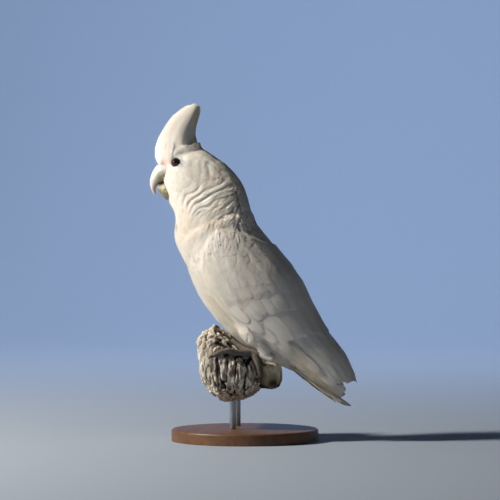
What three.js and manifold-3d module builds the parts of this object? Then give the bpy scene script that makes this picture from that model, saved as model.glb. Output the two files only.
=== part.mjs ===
// A little corella, a small white cockatoo, as a life-size museum model. It stands with its crest
// raised on a cut length of branch, which two short rods hold above a round base.
// Millimetres, +Z up. The bird faces -X, so its left side is towards -Y, and the XZ plane is its
// middle plane. The origin is the middle of the base's underside.

import * as THREE from 'three';
import { LoftGeometry } from 'three/addons/geometries/LoftGeometry.js';
import { mergeVertices } from 'three/addons/utils/BufferGeometryUtils.js';
import Module from 'manifold-3d';

const wasm = await Module();
wasm.setup();

const GAP = 0.35;          // clearance between neighbouring pieces
const BODY_SIDES = 24;     // points round a section of the body
const WING_THICK = { shoulder: 7, tip: 3 };   // folded wing, from its outer feathers to the flank
const SIDES = { left: -1, right: 1 };

const plumage = new THREE.MeshStandardMaterial({ color: 0xf3efe4, roughness: 0.85, metalness: 0 });
const quills = new THREE.MeshStandardMaterial({ color: 0xf1ead2, roughness: 0.7, metalness: 0 });
const horn = new THREE.MeshStandardMaterial({ color: 0xc9c4ae, roughness: 0.45, metalness: 0 });
const tongueSkin = new THREE.MeshStandardMaterial({ color: 0x2c211e, roughness: 0.5, metalness: 0 });
const iris = new THREE.MeshStandardMaterial({ color: 0x1d0f0c, roughness: 0.1, metalness: 0 });
const scaledSkin = new THREE.MeshStandardMaterial({ color: 0x5d554f, roughness: 0.7, metalness: 0 });
const claw = new THREE.MeshStandardMaterial({ color: 0x2b2624, roughness: 0.4, metalness: 0 });
const bark = new THREE.MeshStandardMaterial({ color: 0x6b5f54, roughness: 0.95, metalness: 0 });
const bareWood = new THREE.MeshStandardMaterial({ color: 0xb9ab8c, roughness: 0.85, metalness: 0 });
const standWood = new THREE.MeshStandardMaterial({ color: 0x3a2a20, roughness: 0.45, metalness: 0 });
const steel = new THREE.MeshStandardMaterial({ color: 0x8f9296, roughness: 0.3, metalness: 1 });

// ---------------------------------------------------------------- helpers

// A closed geometry as a manifold-3d solid: only positions, merged, with no collapsed triangle.
function solid(geometry) {
  const bare = new THREE.BufferGeometry();
  const flat = geometry.index ? geometry.toNonIndexed() : geometry;
  bare.setAttribute('position', flat.getAttribute('position').clone());
  const merged = mergeVertices(bare, 1e-3);
  const kept = [];
  const index = merged.index.array;
  for (let i = 0; i < index.length; i += 3) {
    const [a, b, c] = [index[i], index[i + 1], index[i + 2]];
    if (a !== b && b !== c && a !== c) kept.push(a, b, c);
  }
  const mesh = new wasm.Mesh({
    numProp: 3,
    vertProperties: merged.getAttribute('position').array,
    triVerts: new Uint32Array(kept),
  });
  return new wasm.Manifold(mesh);
}

// A solid's largest body, which drops the slivers that a boolean leaves.
function largest(made) {
  const bodies = made.decompose();
  return bodies.reduce((best, body) => (body.volume() > best.volume() ? body : best));
}

// Leaves out corners that move the surface by less than a small share of the piece's own size.
const FINEST_SHARE = 1 / 900;
const FINEST = 0.15;

function simplified(made) {
  const { min, max } = made.boundingBox();
  const size = Math.hypot(max[0] - min[0], max[1] - min[1], max[2] - min[2]);
  return made.simplify(Math.min(FINEST, size * FINEST_SHARE));
}

function meshOf(name, made, material) {
  const data = largest(simplified(made)).getMesh();
  const geometry = new THREE.BufferGeometry();
  const points = new Float32Array(data.numVert * 3);
  for (let i = 0; i < data.numVert; i++) {
    const start = i * data.numProp;
    points.set(data.vertProperties.subarray(start, start + 3), i * 3);
  }
  geometry.setAttribute('position', new THREE.BufferAttribute(points, 3));
  geometry.setIndex(new THREE.BufferAttribute(data.triVerts, 1));
  const mesh = new THREE.Mesh(geometry, material);
  mesh.name = name;
  return mesh;
}

const radians = THREE.MathUtils.degToRad;

// Smooth curve through rows of numbers, three at a time: at(t) gives the row at t from 0 to 1.
function rowCurve(rows) {
  const threes = [];
  for (let first = 0; first < rows[0].length; first += 3) {
    const points = rows.map((r) => new THREE.Vector3(r[first], r[first + 1] ?? 0, r[first + 2] ?? 0));
    threes.push(new THREE.CatmullRomCurve3(points));
  }
  return (t) => threes.flatMap((curve) => curve.getPoint(t).toArray());
}

// One elliptical section of the body. A row is the section's upper end (x, half width, z) and its
// lower end (x, share of the half width left at the lower quarter, z).
function bodySection([upX, wide, upZ, downX, keel, downZ], grow, sides = BODY_SIDES) {
  const up = new THREE.Vector3(upX, 0, upZ);
  const down = new THREE.Vector3(downX, 0, downZ);
  const middle = up.clone().add(down).multiplyScalar(0.5);
  const axis = up.clone().sub(down).normalize();
  const deep = up.distanceTo(down) / 2 + grow;
  const points = [];
  for (let i = 0; i < sides; i++) {
    const turn = (i / sides) * Math.PI * 2;
    const lift = Math.cos(turn);
    const narrowing = 1 - (1 - keel) * Math.max(0, -lift) ** 2;
    const point = middle.clone().addScaledVector(axis, deep * lift);
    point.y += (wide + grow) * Math.sin(turn) * narrowing;
    points.push(point);
  }
  return points;
}

// A solid skinned over body sections from t0 to t1 of a row curve. Grow is in millimetres, and may
// go from one number at t0 to another at t1.
function bodyLoft(curve, t0, t1, rings, grow = 0, sides = BODY_SIDES) {
  const [growStart, growEnd] = [grow].flat().length === 2 ? grow : [grow, grow];
  const sections = [];
  for (let i = 0; i < rings; i++) {
    const share = i / (rings - 1);
    const t = THREE.MathUtils.lerp(t0, t1, share);
    sections.push(bodySection(curve(t), THREE.MathUtils.lerp(growStart, growEnd, share), sides));
  }
  return orient(sections);
}

// Lofts sections into a solid. Each section must run anticlockwise seen from the loft's far end, so
// they are all reversed if the first one does not.
function orient(sections) {
  const [first, second] = sections;
  const along = new THREE.Vector3();
  const normal = new THREE.Vector3();
  first.forEach((p, i) => {
    along.add(second[i]).sub(p);
    normal.add(p.clone().cross(first[(i + 1) % first.length]));
  });
  const reversed = normal.dot(along) < 0;
  const ordered = reversed ? sections.map((s) => s.slice().reverse()) : sections;
  return solid(new LoftGeometry(ordered, { capStart: true, capEnd: true }));
}

// A tapering tube along a curve. radii are the radii at even steps from its start to its end.
function taperedTube(points, radii, rings, sides, flat = 1) {
  const curve = new THREE.CatmullRomCurve3(points);
  const radiusCurve = new THREE.SplineCurve(radii.map((r, i) => new THREE.Vector2(i, r)));
  const frames = curve.computeFrenetFrames(rings - 1, false);
  const sections = [];
  for (let i = 0; i < rings; i++) {
    const share = i / (rings - 1);
    const centre = curve.getPointAt(share);
    const radius = radiusCurve.getPoint(share).y;
    const section = [];
    for (let j = 0; j < sides; j++) {
      const turn = (j / sides) * Math.PI * 2;
      const point = centre.clone();
      point.addScaledVector(frames.normals[i], radius * Math.cos(turn));
      point.addScaledVector(frames.binormals[i], radius * flat * Math.sin(turn));
      section.push(point);
    }
    sections.push(section);
  }
  return orient(sections);
}

// A side-view outline (x, z) drawn out between two distances across the bird.
function sidePrism(outline, fromY, toY, grow = 0) {
  const shape = new THREE.Shape(outline.map(([x, z]) => new THREE.Vector2(x, z)));
  const extrude = new THREE.ExtrudeGeometry(shape, { depth: toY - fromY, bevelEnabled: false });
  extrude.rotateX(Math.PI / 2);
  extrude.translate(0, toY, 0);
  const made = solid(extrude);
  if (!grow) return made;
  // Grown by sliding it a little to each side of its outline and joining what results.
  const shifts = [[grow, 0], [-grow, 0], [0, grow], [0, -grow]];
  return shifts.reduce((all, [x, z]) => all.add(made.translate([x, 0, z])), made);
}

function ball(x, y, z, radius, across = 14, round = 9) {
  const geometry = new THREE.SphereGeometry(radius, across, round);
  geometry.translate(x, y, z);
  return solid(geometry);
}

// ---------------------------------------------------------------- body

// Sections from the face to the under-tail coverts, each as its upper end on the crown or back
// (x, half width, z) and its lower end on the throat or belly (x, keel share, z).
const BODY = [
  [-105, 5, 337, -102, 0.9, 320],
  [-104.5, 10, 346, -97.5, 0.7, 305],
  [-100, 14.5, 355.5, -95, 0.7, 297.5],
  [-89, 20, 362, -90, 0.8, 290],
  [-74, 23.5, 366, -87.5, 0.85, 283],
  [-57, 25.5, 365.5, -86.5, 0.85, 275],
  [-41, 27.5, 357, -88, 0.85, 264],
  [-21.5, 29.5, 341.5, -88, 0.9, 253],
  [-5, 32, 322, -85, 0.9, 242],
  [2.5, 35, 300, -78.5, 0.95, 230.5],
  [9.5, 39, 277, -73, 1.0, 220.5],
  [25.5, 43, 256, -70, 1.0, 210],
  [43, 45, 233, -64.5, 1.0, 195],
  [58, 45, 209, -55, 1.0, 177],
  [72, 42, 183, -41, 1.0, 158],
  [83, 37, 158, -21, 1.0, 136],
  [89, 31, 137, 3, 0.95, 117],
  [93, 23, 119, 27, 0.9, 103],
  [95, 14, 104, 50, 0.85, 92],
  [92, 6, 91, 70, 0.8, 84],
];

// Outer surface of the folded wings, from above the shoulder to the primary tips.
const WINGS = [
  [5, 37, 298, -80, 1, 231],
  [14, 42, 276, -75, 1, 222],
  [28, 46, 255, -71, 1, 210],
  [49, 48.5, 231, -66, 1, 195],
  [68.5, 49, 206, -57, 1, 177],
  [82.5, 46.5, 176, -44, 1, 158],
  [94.5, 42, 152, -24, 1, 137],
  [108, 36.5, 131, 6, 1, 115],
  [121, 31, 116, 34, 1, 99],
  [129.5, 26, 102, 60, 1, 84],
  [133, 20.5, 90, 84, 1, 69],
  [134, 14, 76, 104, 1, 60],
  [129, 8, 62, 119, 1, 55],
];

// Where the folded wing ends, seen from the side: from the shoulder round below and back over the rump.
const WING_OUTLINE = [
  [-40, 251], [-49, 235], [-49, 212], [-40, 190], [-24, 168], [-6, 150], [14, 134], [36, 118],
  [59, 100], [82, 78], [104, 60], [121, 50], [144, 45], [162, 76], [106, 190], [60, 240],
  [31, 246], [9, 256], [-11, 262], [-29, 261],
];

const HEAD_END = 0.31;     // along the body's sections
const NECK_END = 0.545;
const SEAM = 0.0014;       // half the gap between head, neck and trunk, along the body's sections
const MIDLINE_GAP = 0.6;   // from the middle plane to each wing's inner edge
const WIDE_ENOUGH = 90;    // past any part of the bird, across it

const bodyAt = rowCurve(BODY);
const wingsAt = rowCurve(WINGS);

// The shell that a folded wing fills, or with grow the recess that it lies in.
function wingShell(side, grow) {
  const near = MIDLINE_GAP - grow;
  const [fromY, toY] = side < 0 ? [-WIDE_ENOUGH, -near] : [near, WIDE_ENOUGH];
  const prism = sidePrism(WING_OUTLINE, fromY, toY, grow);
  const inside = bodyLoft(wingsAt, 0, 1, 15, [-WING_THICK.shoulder - grow, -WING_THICK.tip - grow]);
  return { prism, inside };
}

function foldedWing(side) {
  const { prism, inside } = wingShell(side, 0);
  return bodyLoft(wingsAt, 0, 1, 15).intersect(prism).subtract(inside);
}

function wingRecess(side) {
  const { prism, inside } = wingShell(side, GAP);
  return prism.subtract(inside);
}

// Cuts a solid in two across the wing, and keeps the side that the sign says.
const TIP_CUT = { x: 88, z: 118, lean: 30 };
function cutAtWingTip(made, sign) {
  const direction = [sign * Math.sin(radians(TIP_CUT.lean)), 0, -sign * Math.cos(radians(TIP_CUT.lean))];
  const along = direction[0] * TIP_CUT.x + direction[2] * TIP_CUT.z;
  return made.trimByPlane(direction, along + GAP / 2);
}

// ---------------------------------------------------------------- head parts

const EYE = { x: -85, out: 15, z: 347.5, radius: 6.4 };

function eye(side, grow = 0) {
  return ball(EYE.x, side * EYE.out, EYE.z, EYE.radius + grow);
}

// Upper mandible: rows are the culmen (x, half width, z) and the cutting edge (x, keel, z).
const UPPER_BILL = [
  [-92, 11, 346, -82, 1, 333],
  [-101, 12.5, 348, -88, 1, 329.5],
  [-109.5, 12.2, 345, -94, 1, 327.5],
  [-114.7, 10.6, 339, -101, 1, 324.5],
  [-118.5, 8.2, 330.5, -107.5, 1, 322],
  [-119.9, 5.8, 321.5, -111.6, 1, 319],
  [-118, 3.6, 314.5, -113, 1, 314.3],
  [-114.8, 1.1, 307.6, -112.6, 1, 308.4],
];
const LOWER_BILL = [
  [-84, 8.5, 322.5, -86, 0.7, 305],
  [-93, 10.5, 324, -96.5, 0.75, 300.5],
  [-100, 10.6, 322.6, -103.2, 0.75, 304],
  [-107, 8.2, 320.2, -107.8, 0.75, 311],
  [-110.4, 5.4, 318.6, -110.2, 0.75, 315.8],
];
const TONGUE = [
  [-103.5, 3.4, 325.6, -103, 1, 322.4],
  [-107, 3.2, 324.8, -106.6, 1, 321.6],
  [-109.4, 1.6, 323, -109.2, 1, 321.2],
];

const upperBillAt = rowCurve(UPPER_BILL);
const lowerBillAt = rowCurve(LOWER_BILL);

function upperBill(grow = 0) {
  return bodyLoft(upperBillAt, 0, 1, 12, grow, 14);
}

function lowerBill(grow = 0) {
  return bodyLoft(lowerBillAt, 0, 1, 7, grow, 14);
}

// Raised crest: rows are its front edge (x, half width, z) and its rear edge (x, keel, z).
const CREST = [
  [-110, 16, 343, -50, 0.9, 356],
  [-114, 15, 360, -57, 0.9, 373],
  [-109, 13, 379, -60, 0.85, 383],
  [-100, 10.5, 394, -59, 0.8, 393],
  [-90.5, 8.2, 407, -56, 0.8, 403],
  [-78.5, 5.5, 416.5, -54.5, 0.8, 411],
  [-65, 2.2, 422, -57, 0.8, 419],
];
const crestAt = rowCurve(CREST);

function crest(grow = 0) {
  return bodyLoft(crestAt, 0, 1, 10, grow, 16);
}

// ---------------------------------------------------------------- tail and legs

// The closed tail: middle line (x, z), half thickness and half width, from rump to tip.
const TAIL = [
  [52, 104, 7, 13],
  [68, 92, 6, 17],
  [87, 77, 5, 20],
  [108, 62, 4, 22.5],
  [125, 50.5, 2.8, 22],
  [134, 44.5, 1.4, 17],
];
const TAIL_ARCH = 5;       // how far its edges droop below its middle
const TAIL_SIDES = 16;     // points round a section of it

function tail(grow = 0) {
  const rows = TAIL.map(([x, z, thick, wide]) => [x, thick, z, wide]);
  const at = rowCurve(rows.map((r) => [r[0], r[1], r[2], r[3], 0, 0]));
  const sections = [];
  const rings = 8;
  for (let i = 0; i < rings; i++) {
    const t = i / (rings - 1);
    const [x, thick, z, wide] = at(t);
    const [nextX, , nextZ] = at(Math.min(1, t + 0.01));
    const [lastX, , lastZ] = at(Math.max(0, t - 0.01));
    const along = new THREE.Vector3(nextX - lastX, 0, nextZ - lastZ).normalize();
    const up = new THREE.Vector3(-along.z, 0, along.x);
    const section = [];
    for (let j = 0; j < TAIL_SIDES; j++) {
      const turn = (j / TAIL_SIDES) * Math.PI * 2;
      const across = Math.sin(turn);
      const lift = (thick + grow) * Math.cos(turn) - TAIL_ARCH * across * across;
      const point = new THREE.Vector3(x, (wide + grow) * across, z).addScaledVector(up, lift);
      section.push(point);
    }
    sections.push(section);
  }
  return orient(sections);
}

// The perch is an irregular log along Y: a radius for each angle round its axis, with a raised burr
// in front of the bird and a hollow below its belly, and a rounded broken end on the bird's left.
const PERCH = {
  x: -16, z: 90, radius: 40,
  burr: { angle: 130, height: 17, spread: 27 },
  hollow: { angle: 62, depth: 13, spread: 36 },
  shoulderY: -16, domeDepth: 31, farY: 62,
};

const PERCH_SIDES = 28;

function bump(angle, { angle: centre, spread }) {
  const off = THREE.MathUtils.euclideanModulo(angle - centre + 180, 360) - 180;
  return Math.exp(-((off / spread) ** 2));
}

function perchRadius(degrees) {
  const { radius, burr, hollow } = PERCH;
  return radius + burr.height * bump(degrees, burr) - hollow.depth * bump(degrees, hollow);
}

// How far from the perch's axis its surface, or the stub's where that is further out, lies at a
// place: the larger of the two shares says how many times too near the axis the place is.
function surfaceShare(out, y) {
  const angle = THREE.MathUtils.radToDeg(Math.atan2(out.z, out.x));
  const onLog = Math.hypot(Math.hypot(out.x, out.z) / perchRadius(angle), out.y / PERCH.domeDepth);
  const scale = stubScale(y);
  if (scale <= 0) return onLog;
  // Where the ray from the perch's axis leaves the stub's oval.
  const [a, b] = [out.x / (STUB.halfX * scale), out.z / (STUB.halfZ * scale)];
  const [u, v] = [(PERCH.x - STUB.x) / (STUB.halfX * scale), (PERCH.z - STUB.z) / (STUB.halfZ * scale)];
  const [quad, half, rest] = [a * a + b * b, a * u + b * v, u * u + v * v - 1];
  const inside = half * half - quad * rest;
  if (inside <= 0) return onLog;
  const leaves = (-half + Math.sqrt(inside)) / quad;
  return leaves > 0 ? Math.min(onLog, 1 / leaves) : onLog;
}

// The point of the perch's surface in the direction of p, lifted off it.
function onPerch([x, y, z], lift) {
  const centre = new THREE.Vector3(PERCH.x, Math.max(y, PERCH.shoulderY), PERCH.z);
  const out = new THREE.Vector3(x, y, z).sub(centre);
  const length = out.length() / surfaceShare(out, y) + lift;
  return centre.addScaledVector(out.normalize(), length);
}

// The same, but keeping its distance across the bird, so it moves only round the perch's axis.
function onPerchAcross([x, y, z], lift) {
  const past = Math.min(0, y - PERCH.shoulderY) / PERCH.domeDepth;
  const scale = Math.sqrt(Math.max(0, 1 - past * past));
  const out = new THREE.Vector3(x - PERCH.x, 0, z - PERCH.z);
  const length = (out.length() / surfaceShare(out, y)) * scale;
  const onSurface = [PERCH.x + out.x * length / out.length(), y, PERCH.z + out.z * length / out.length()];
  return onPerch(onSurface, lift);
}

function perchLog(grow = 0) {
  const sections = [];
  const domeSteps = 5;
  const barrelSteps = 2;
  const ring = (y, scale) => {
    const points = [];
    for (let i = 0; i < PERCH_SIDES; i++) {
      const degrees = (i / PERCH_SIDES) * 360;
      const radius = perchRadius(degrees) * scale + grow;
      const turn = radians(degrees);
      points.push(new THREE.Vector3(
        PERCH.x + radius * Math.cos(turn), y, PERCH.z + radius * Math.sin(turn)));
    }
    return points;
  };
  for (let i = 0; i < domeSteps; i++) {
    const angle = radians(4 + (86 * i) / domeSteps);
    const y = PERCH.shoulderY - (PERCH.domeDepth + grow) * Math.cos(angle);
    sections.push(ring(y, Math.sin(angle)));
  }
  for (let i = 0; i <= barrelSteps; i++) {
    const y = THREE.MathUtils.lerp(PERCH.shoulderY, PERCH.farY + grow, i / barrelSteps);
    sections.push(ring(y, 1));
  }
  return orient(sections);
}

// The stub of a side shoot, bare of bark, low on the perch's rear.
const STUB = { x: 30, z: 81.5, halfX: 15.5, halfZ: 17.5, nearY: -24, farY: 40, corner: 3 };

// The stub's size at a distance across, as a share of its full size.
function stubScale(y) {
  const { nearY, farY } = STUB;
  const off = (y - (nearY + farY) / 2) / ((farY - nearY) / 2);
  return Math.sqrt(Math.max(0, 1 - Math.abs(off) ** 4));
}

function stub(grow = 0) {
  const steps = 9;
  const sections = [];
  for (let i = 0; i < steps; i++) {
    const off = Math.sin(radians(THREE.MathUtils.lerp(-83, 83, i / (steps - 1))));
    const y = (STUB.nearY + STUB.farY) / 2 + off * ((STUB.farY - STUB.nearY) / 2 + grow);
    const scale = Math.sqrt(1 - Math.abs(off) ** 4);
    const section = [];
    for (let j = 0; j < 16; j++) {
      const turn = (j / 16) * Math.PI * 2;
      const [c, d] = [Math.cos(turn), Math.sin(turn)];
      const square = (Math.abs(c) ** STUB.corner + Math.abs(d) ** STUB.corner) ** (-1 / STUB.corner);
      const x = STUB.x + (STUB.halfX * scale * square + grow) * c;
      const z = STUB.z + (STUB.halfZ * scale * square + grow) * d;
      section.push(new THREE.Vector3(x, y, z));
    }
    sections.push(section);
  }
  return orient(sections);
}

// Leg: heel, ball of the foot, and toes as rough points that are then laid on the perch's surface.
const LEG = {
  knee: [15, 26, 136], heel: [38, 27, 103.5], foot: [10, 26, 110],
  tarsusRadius: 3.6, toeRadius: 3.2,
};
// Each toe's joints after the ball of the foot: degrees round the perch, and distance across it from
// the middle plane.
const TOES = {
  left: {
    inner: [[56, 20], [72, 17], [87, 15]],
    outer: [[62, 34], [98, 41], [136, 44]],
    hind_inner: [[24, 20], [15, 17], [8, 16]],
    hind_outer: [[21, 30], [3, 31], [-13, 30]],
  },
  right: {
    inner: [[56, 21], [71, 18], [85, 16]],
    outer: [[58, 31], [76, 34], [92, 36]],
    hind_inner: [[24, 21], [15, 18], [8, 17]],
    hind_outer: [[21, 32], [3, 38], [-10, 43]],
  },
};
const CLAW_LENGTH = 9;

function toePath(side, name) {
  const { foot, toeRadius } = LEG;
  const start = onPerch([foot[0], side * foot[1], foot[2]], toeRadius * 1.35 + GAP);
  const joints = TOES[side < 0 ? 'left' : 'right'][name];
  const rest = joints.map(([degrees, across]) => {
    const turn = radians(degrees);
    const [x, z] = [PERCH.x + 30 * Math.cos(turn), PERCH.z + 30 * Math.sin(turn)];
    return onPerchAcross([x, side * across, z], toeRadius * 0.95 + GAP);
  });
  return [start, ...rest];
}

function toe(side, name) {
  const { toeRadius } = LEG;
  return taperedTube(toePath(side, name), [toeRadius * 1.15, toeRadius, toeRadius * 0.85, toeRadius * 0.6], 6, 6);
}

// A claw carries on from its toe, curving down on to the bark.
function clawPoints(side, name) {
  const path = toePath(side, name);
  const tip = path[path.length - 1];
  const forward = tip.clone().sub(path[path.length - 2]).normalize();
  const centre = new THREE.Vector3(PERCH.x, Math.max(tip.y, PERCH.shoulderY), PERCH.z);
  const inwards = centre.sub(tip).normalize();
  const start = tip.clone().addScaledVector(forward, -0.4).addScaledVector(inwards, -0.6);
  const bend = tip.clone().addScaledVector(forward, CLAW_LENGTH * 0.5).addScaledVector(inwards, -0.7);
  const end = tip.clone().addScaledVector(forward, CLAW_LENGTH * 0.85).addScaledVector(inwards, 3.2);
  return [start, bend, end];
}

function clawSolid(side, name, grow = 0) {
  return taperedTube(clawPoints(side, name), [1.9 + grow, 1.35 + grow, 0.35 + grow], 6, 7);
}

function heelPoint(side) {
  return new THREE.Vector3(LEG.heel[0], side * LEG.heel[1], LEG.heel[2]);
}

function bareLeg(side) {
  const start = toePath(side, 'outer')[0];
  const heel = heelPoint(side);
  const rise = heel.clone().lerp(start, 0.5).add(new THREE.Vector3(0, 0, 1.5));
  const { tarsusRadius } = LEG;
  const radii = [tarsusRadius * 1.15, tarsusRadius, tarsusRadius * 1.25];
  let made = taperedTube([heel, rise, start], radii, 5, 9);
  for (const name of Object.keys(TOES.left)) made = made.add(toe(side, name));
  return made.add(ball(start.x, start.y, start.z, tarsusRadius * 1.25, 8, 6));
}

// The feathered thigh, from inside the flank down to the heel.
function thigh(side, grow = 0) {
  const hip = new THREE.Vector3(8, side * 20, 150);
  const heel = heelPoint(side);
  const knee = new THREE.Vector3(LEG.knee[0], side * LEG.knee[1], LEG.knee[2]);
  const bottom = heel.clone().add(new THREE.Vector3(-5, 0, 8.5));
  const radii = [19 + grow, 17 + grow, 11.5 + grow, 6 + grow];
  const between = knee.clone().lerp(bottom, 0.55);
  return taperedTube([hip, knee, between, bottom], radii, 7, 12);
}

// ---------------------------------------------------------------- stand

const BASE = { radius: 92, thick: 15, edge: 3 };
const RODS = { front: -12, rear: 42 };
const ROD_RADIUS = 4;
const ROD_X = -14;

function base() {
  const { radius, thick, edge } = BASE;
  const profile = [
    [0, 0], [radius, 0], [radius, thick - edge], [radius - edge, thick], [0, thick],
  ].map(([r, z]) => new THREE.Vector2(r, z));
  const geometry = new THREE.LatheGeometry(profile, 40);
  geometry.rotateX(Math.PI / 2);
  return solid(geometry);
}

function rod(y, perch) {
  const bottom = BASE.thick + GAP;
  const height = PERCH.z - bottom;
  const geometry = new THREE.CylinderGeometry(ROD_RADIUS, ROD_RADIUS, height, 16);
  geometry.rotateX(Math.PI / 2);
  geometry.translate(ROD_X, y, bottom + height / 2);
  return solid(geometry).subtract(perch);
}

// ---------------------------------------------------------------- the whole bird

const corella = new THREE.Group();
const place = (name, made, material) => corella.add(meshOf(name, made, material));

const perchGrown = perchLog(GAP);
const stubGrown = stub(GAP);
const recesses = wingRecess(SIDES.left).add(wingRecess(SIDES.right));
const eyesGrown = eye(SIDES.left, GAP).add(eye(SIDES.right, GAP));
const billGrown = upperBill(GAP).add(lowerBill(GAP));

const headEnd = HEAD_END - SEAM;
const head = bodyLoft(bodyAt, 0, headEnd, 10).subtract(eyesGrown).subtract(billGrown);
const headGrown = bodyLoft(bodyAt, 0, HEAD_END, 10, GAP);
const tongue = bodyLoft(rowCurve(TONGUE), 0, 1, 4, 0, 8).subtract(headGrown);
place('head', head, plumage);
place('crest', crest().subtract(headGrown).subtract(billGrown).subtract(eyesGrown), quills);
place('bill_upper', upperBill().subtract(eyesGrown), horn);
place('bill_lower', lowerBill().subtract(upperBill(GAP)), horn);
place('tongue', tongue.subtract(billGrown), tongueSkin);

const neck = bodyLoft(bodyAt, HEAD_END + SEAM, NECK_END - SEAM, 7);
const trunk = bodyLoft(bodyAt, NECK_END + SEAM, 1, 12);
const trunkGrown = bodyLoft(bodyAt, NECK_END - SEAM, 1, 12, GAP);
place('neck', neck.subtract(recesses), plumage);
place('trunk', trunk.subtract(recesses).subtract(perchGrown).subtract(stubGrown), plumage);
place('tail', tail().subtract(trunkGrown).subtract(recesses), quills);

for (const [name, side] of Object.entries(SIDES)) {
  const wing = foldedWing(side);
  place(`wing_${name}`, cutAtWingTip(wing, -1), plumage);
  place(`wing_tip_${name}`, cutAtWingTip(wing, 1), quills);
  place(`eye_${name}`, eye(side), iris);
  const legShape = bareLeg(side);
  const thighShape = thigh(side).subtract(trunkGrown).subtract(recesses).subtract(perchGrown);
  place(`thigh_${name}`, thighShape.subtract(stubGrown), plumage);
  let legCut = legShape.subtract(perchGrown).subtract(stubGrown).subtract(thigh(side, GAP)).subtract(trunkGrown);
  for (const toeName of Object.keys(TOES[name])) {
    legCut = legCut.subtract(clawSolid(side, toeName, GAP));
    place(`claw_${name}_${toeName}`, clawSolid(side, toeName).subtract(perchGrown).subtract(stubGrown), claw);
  }
  place(`leg_${name}`, legCut, scaledSkin);
}

place('perch', perchLog(), bark);
place('perch_stub', stub().subtract(perchGrown), bareWood);
place('stand_base', base(), standWood);
for (const [name, y] of Object.entries(RODS)) place(`stand_rod_${name}`, rod(y, perchGrown), steel);

export default corella;
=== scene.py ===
# %% [markdown]
# # A little corella on its perch
# A small white cockatoo stands on a cut length of branch, with its crest up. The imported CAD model
# gives every size and place. This script gives the looks: one skin over the flesh, feathers that
# are thin closed vanes laid over that skin, a horny bill, wet eyes, scaled feet, bark and a stand.

# %% Load the frame
import math

import bmesh
import bpy
import numpy as np
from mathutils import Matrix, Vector, noise
from mathutils.bvhtree import BVHTree


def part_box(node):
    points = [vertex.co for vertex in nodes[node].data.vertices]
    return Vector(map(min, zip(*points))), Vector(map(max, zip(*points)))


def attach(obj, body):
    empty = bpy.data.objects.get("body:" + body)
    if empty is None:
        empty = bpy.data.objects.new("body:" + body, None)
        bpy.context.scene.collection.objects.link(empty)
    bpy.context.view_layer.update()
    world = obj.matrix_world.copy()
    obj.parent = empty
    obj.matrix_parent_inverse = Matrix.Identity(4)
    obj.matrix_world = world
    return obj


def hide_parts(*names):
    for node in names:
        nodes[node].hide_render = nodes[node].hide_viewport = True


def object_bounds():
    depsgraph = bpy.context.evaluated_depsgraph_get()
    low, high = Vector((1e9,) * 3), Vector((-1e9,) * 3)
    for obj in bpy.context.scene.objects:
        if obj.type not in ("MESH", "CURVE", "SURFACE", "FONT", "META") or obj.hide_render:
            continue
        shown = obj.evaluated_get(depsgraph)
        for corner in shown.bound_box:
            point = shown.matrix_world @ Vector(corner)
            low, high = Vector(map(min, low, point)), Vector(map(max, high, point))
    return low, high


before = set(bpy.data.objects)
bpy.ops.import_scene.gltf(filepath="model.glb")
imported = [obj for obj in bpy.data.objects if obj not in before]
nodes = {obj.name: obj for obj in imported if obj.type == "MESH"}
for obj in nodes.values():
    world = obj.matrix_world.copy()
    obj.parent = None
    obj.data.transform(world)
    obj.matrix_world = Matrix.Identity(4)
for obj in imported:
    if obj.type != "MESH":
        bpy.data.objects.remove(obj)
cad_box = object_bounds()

MM = 0.001
BODY = "root"
SIDES = {"left": -1, "right": 1}


def centre_of(node):
    """The middle of a CAD node's box."""
    low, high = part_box(node)
    return (low + high) / 2


def add_object(name, data):
    """A new object with its mesh, lamp or camera data, linked into the scene."""
    made = bpy.data.objects.new(name, data)
    bpy.context.scene.collection.objects.link(made)
    return made


print("CAD box, mm:", [round(v / MM) for corner in cad_box for v in corner])

# %% [markdown]
# ## Landmarks
# The bird stands in profile and faces -X, with its left side towards the camera. The eyes are its
# surest landmarks, so the face is measured from the middle point between them.

# %% Landmarks
eye = {side: centre_of(f"eye_{side}") for side in SIDES}
eye_middle = (eye["left"] + eye["right"]) / 2
eye_radius = (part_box("eye_left")[1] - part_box("eye_left")[0]).x / 2
print("eye radius, mm:", round(eye_radius / MM, 2))
print("middle of the eyes, mm:", [round(v / MM, 1) for v in eye_middle])

# %% [markdown]
# ## Camera, light and floor
# A long lens far away keeps the bird's profile flat, as it is seen through a telescope. One warm
# lamp comes from in front of the bird and high, so that the breast is bright and the back is in
# clear shade. A small beam lifts the face, two weak cool lamps keep the shade open, and one more
# lights only the wall.

# %% Camera
VIEW_WIDTH = 0.625
CAMERA_DISTANCE = 4.2
CAMERA_AZIMUTH = math.radians(6)
CAMERA_ELEVATION = math.radians(1.5)
SENSOR = 36.0
aim = Vector((6.25 * MM, 0, (cad_box[1].z + 55 * MM) / 2))

camera_data = bpy.data.cameras.new("camera")
camera_data.sensor_width = SENSOR
camera_data.lens = SENSOR * CAMERA_DISTANCE / VIEW_WIDTH
camera = add_object("camera", camera_data)
towards_camera = Vector((
    math.sin(CAMERA_AZIMUTH) * math.cos(CAMERA_ELEVATION),
    -math.cos(CAMERA_AZIMUTH) * math.cos(CAMERA_ELEVATION),
    math.sin(CAMERA_ELEVATION)))
camera.location = aim + towards_camera * CAMERA_DISTANCE
camera.rotation_euler = (-towards_camera).to_track_quat("-Z", "Y").to_euler()
bpy.context.scene.camera = camera
print("camera height, m:", round(camera.location.z, 3))

# %% Lights


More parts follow.
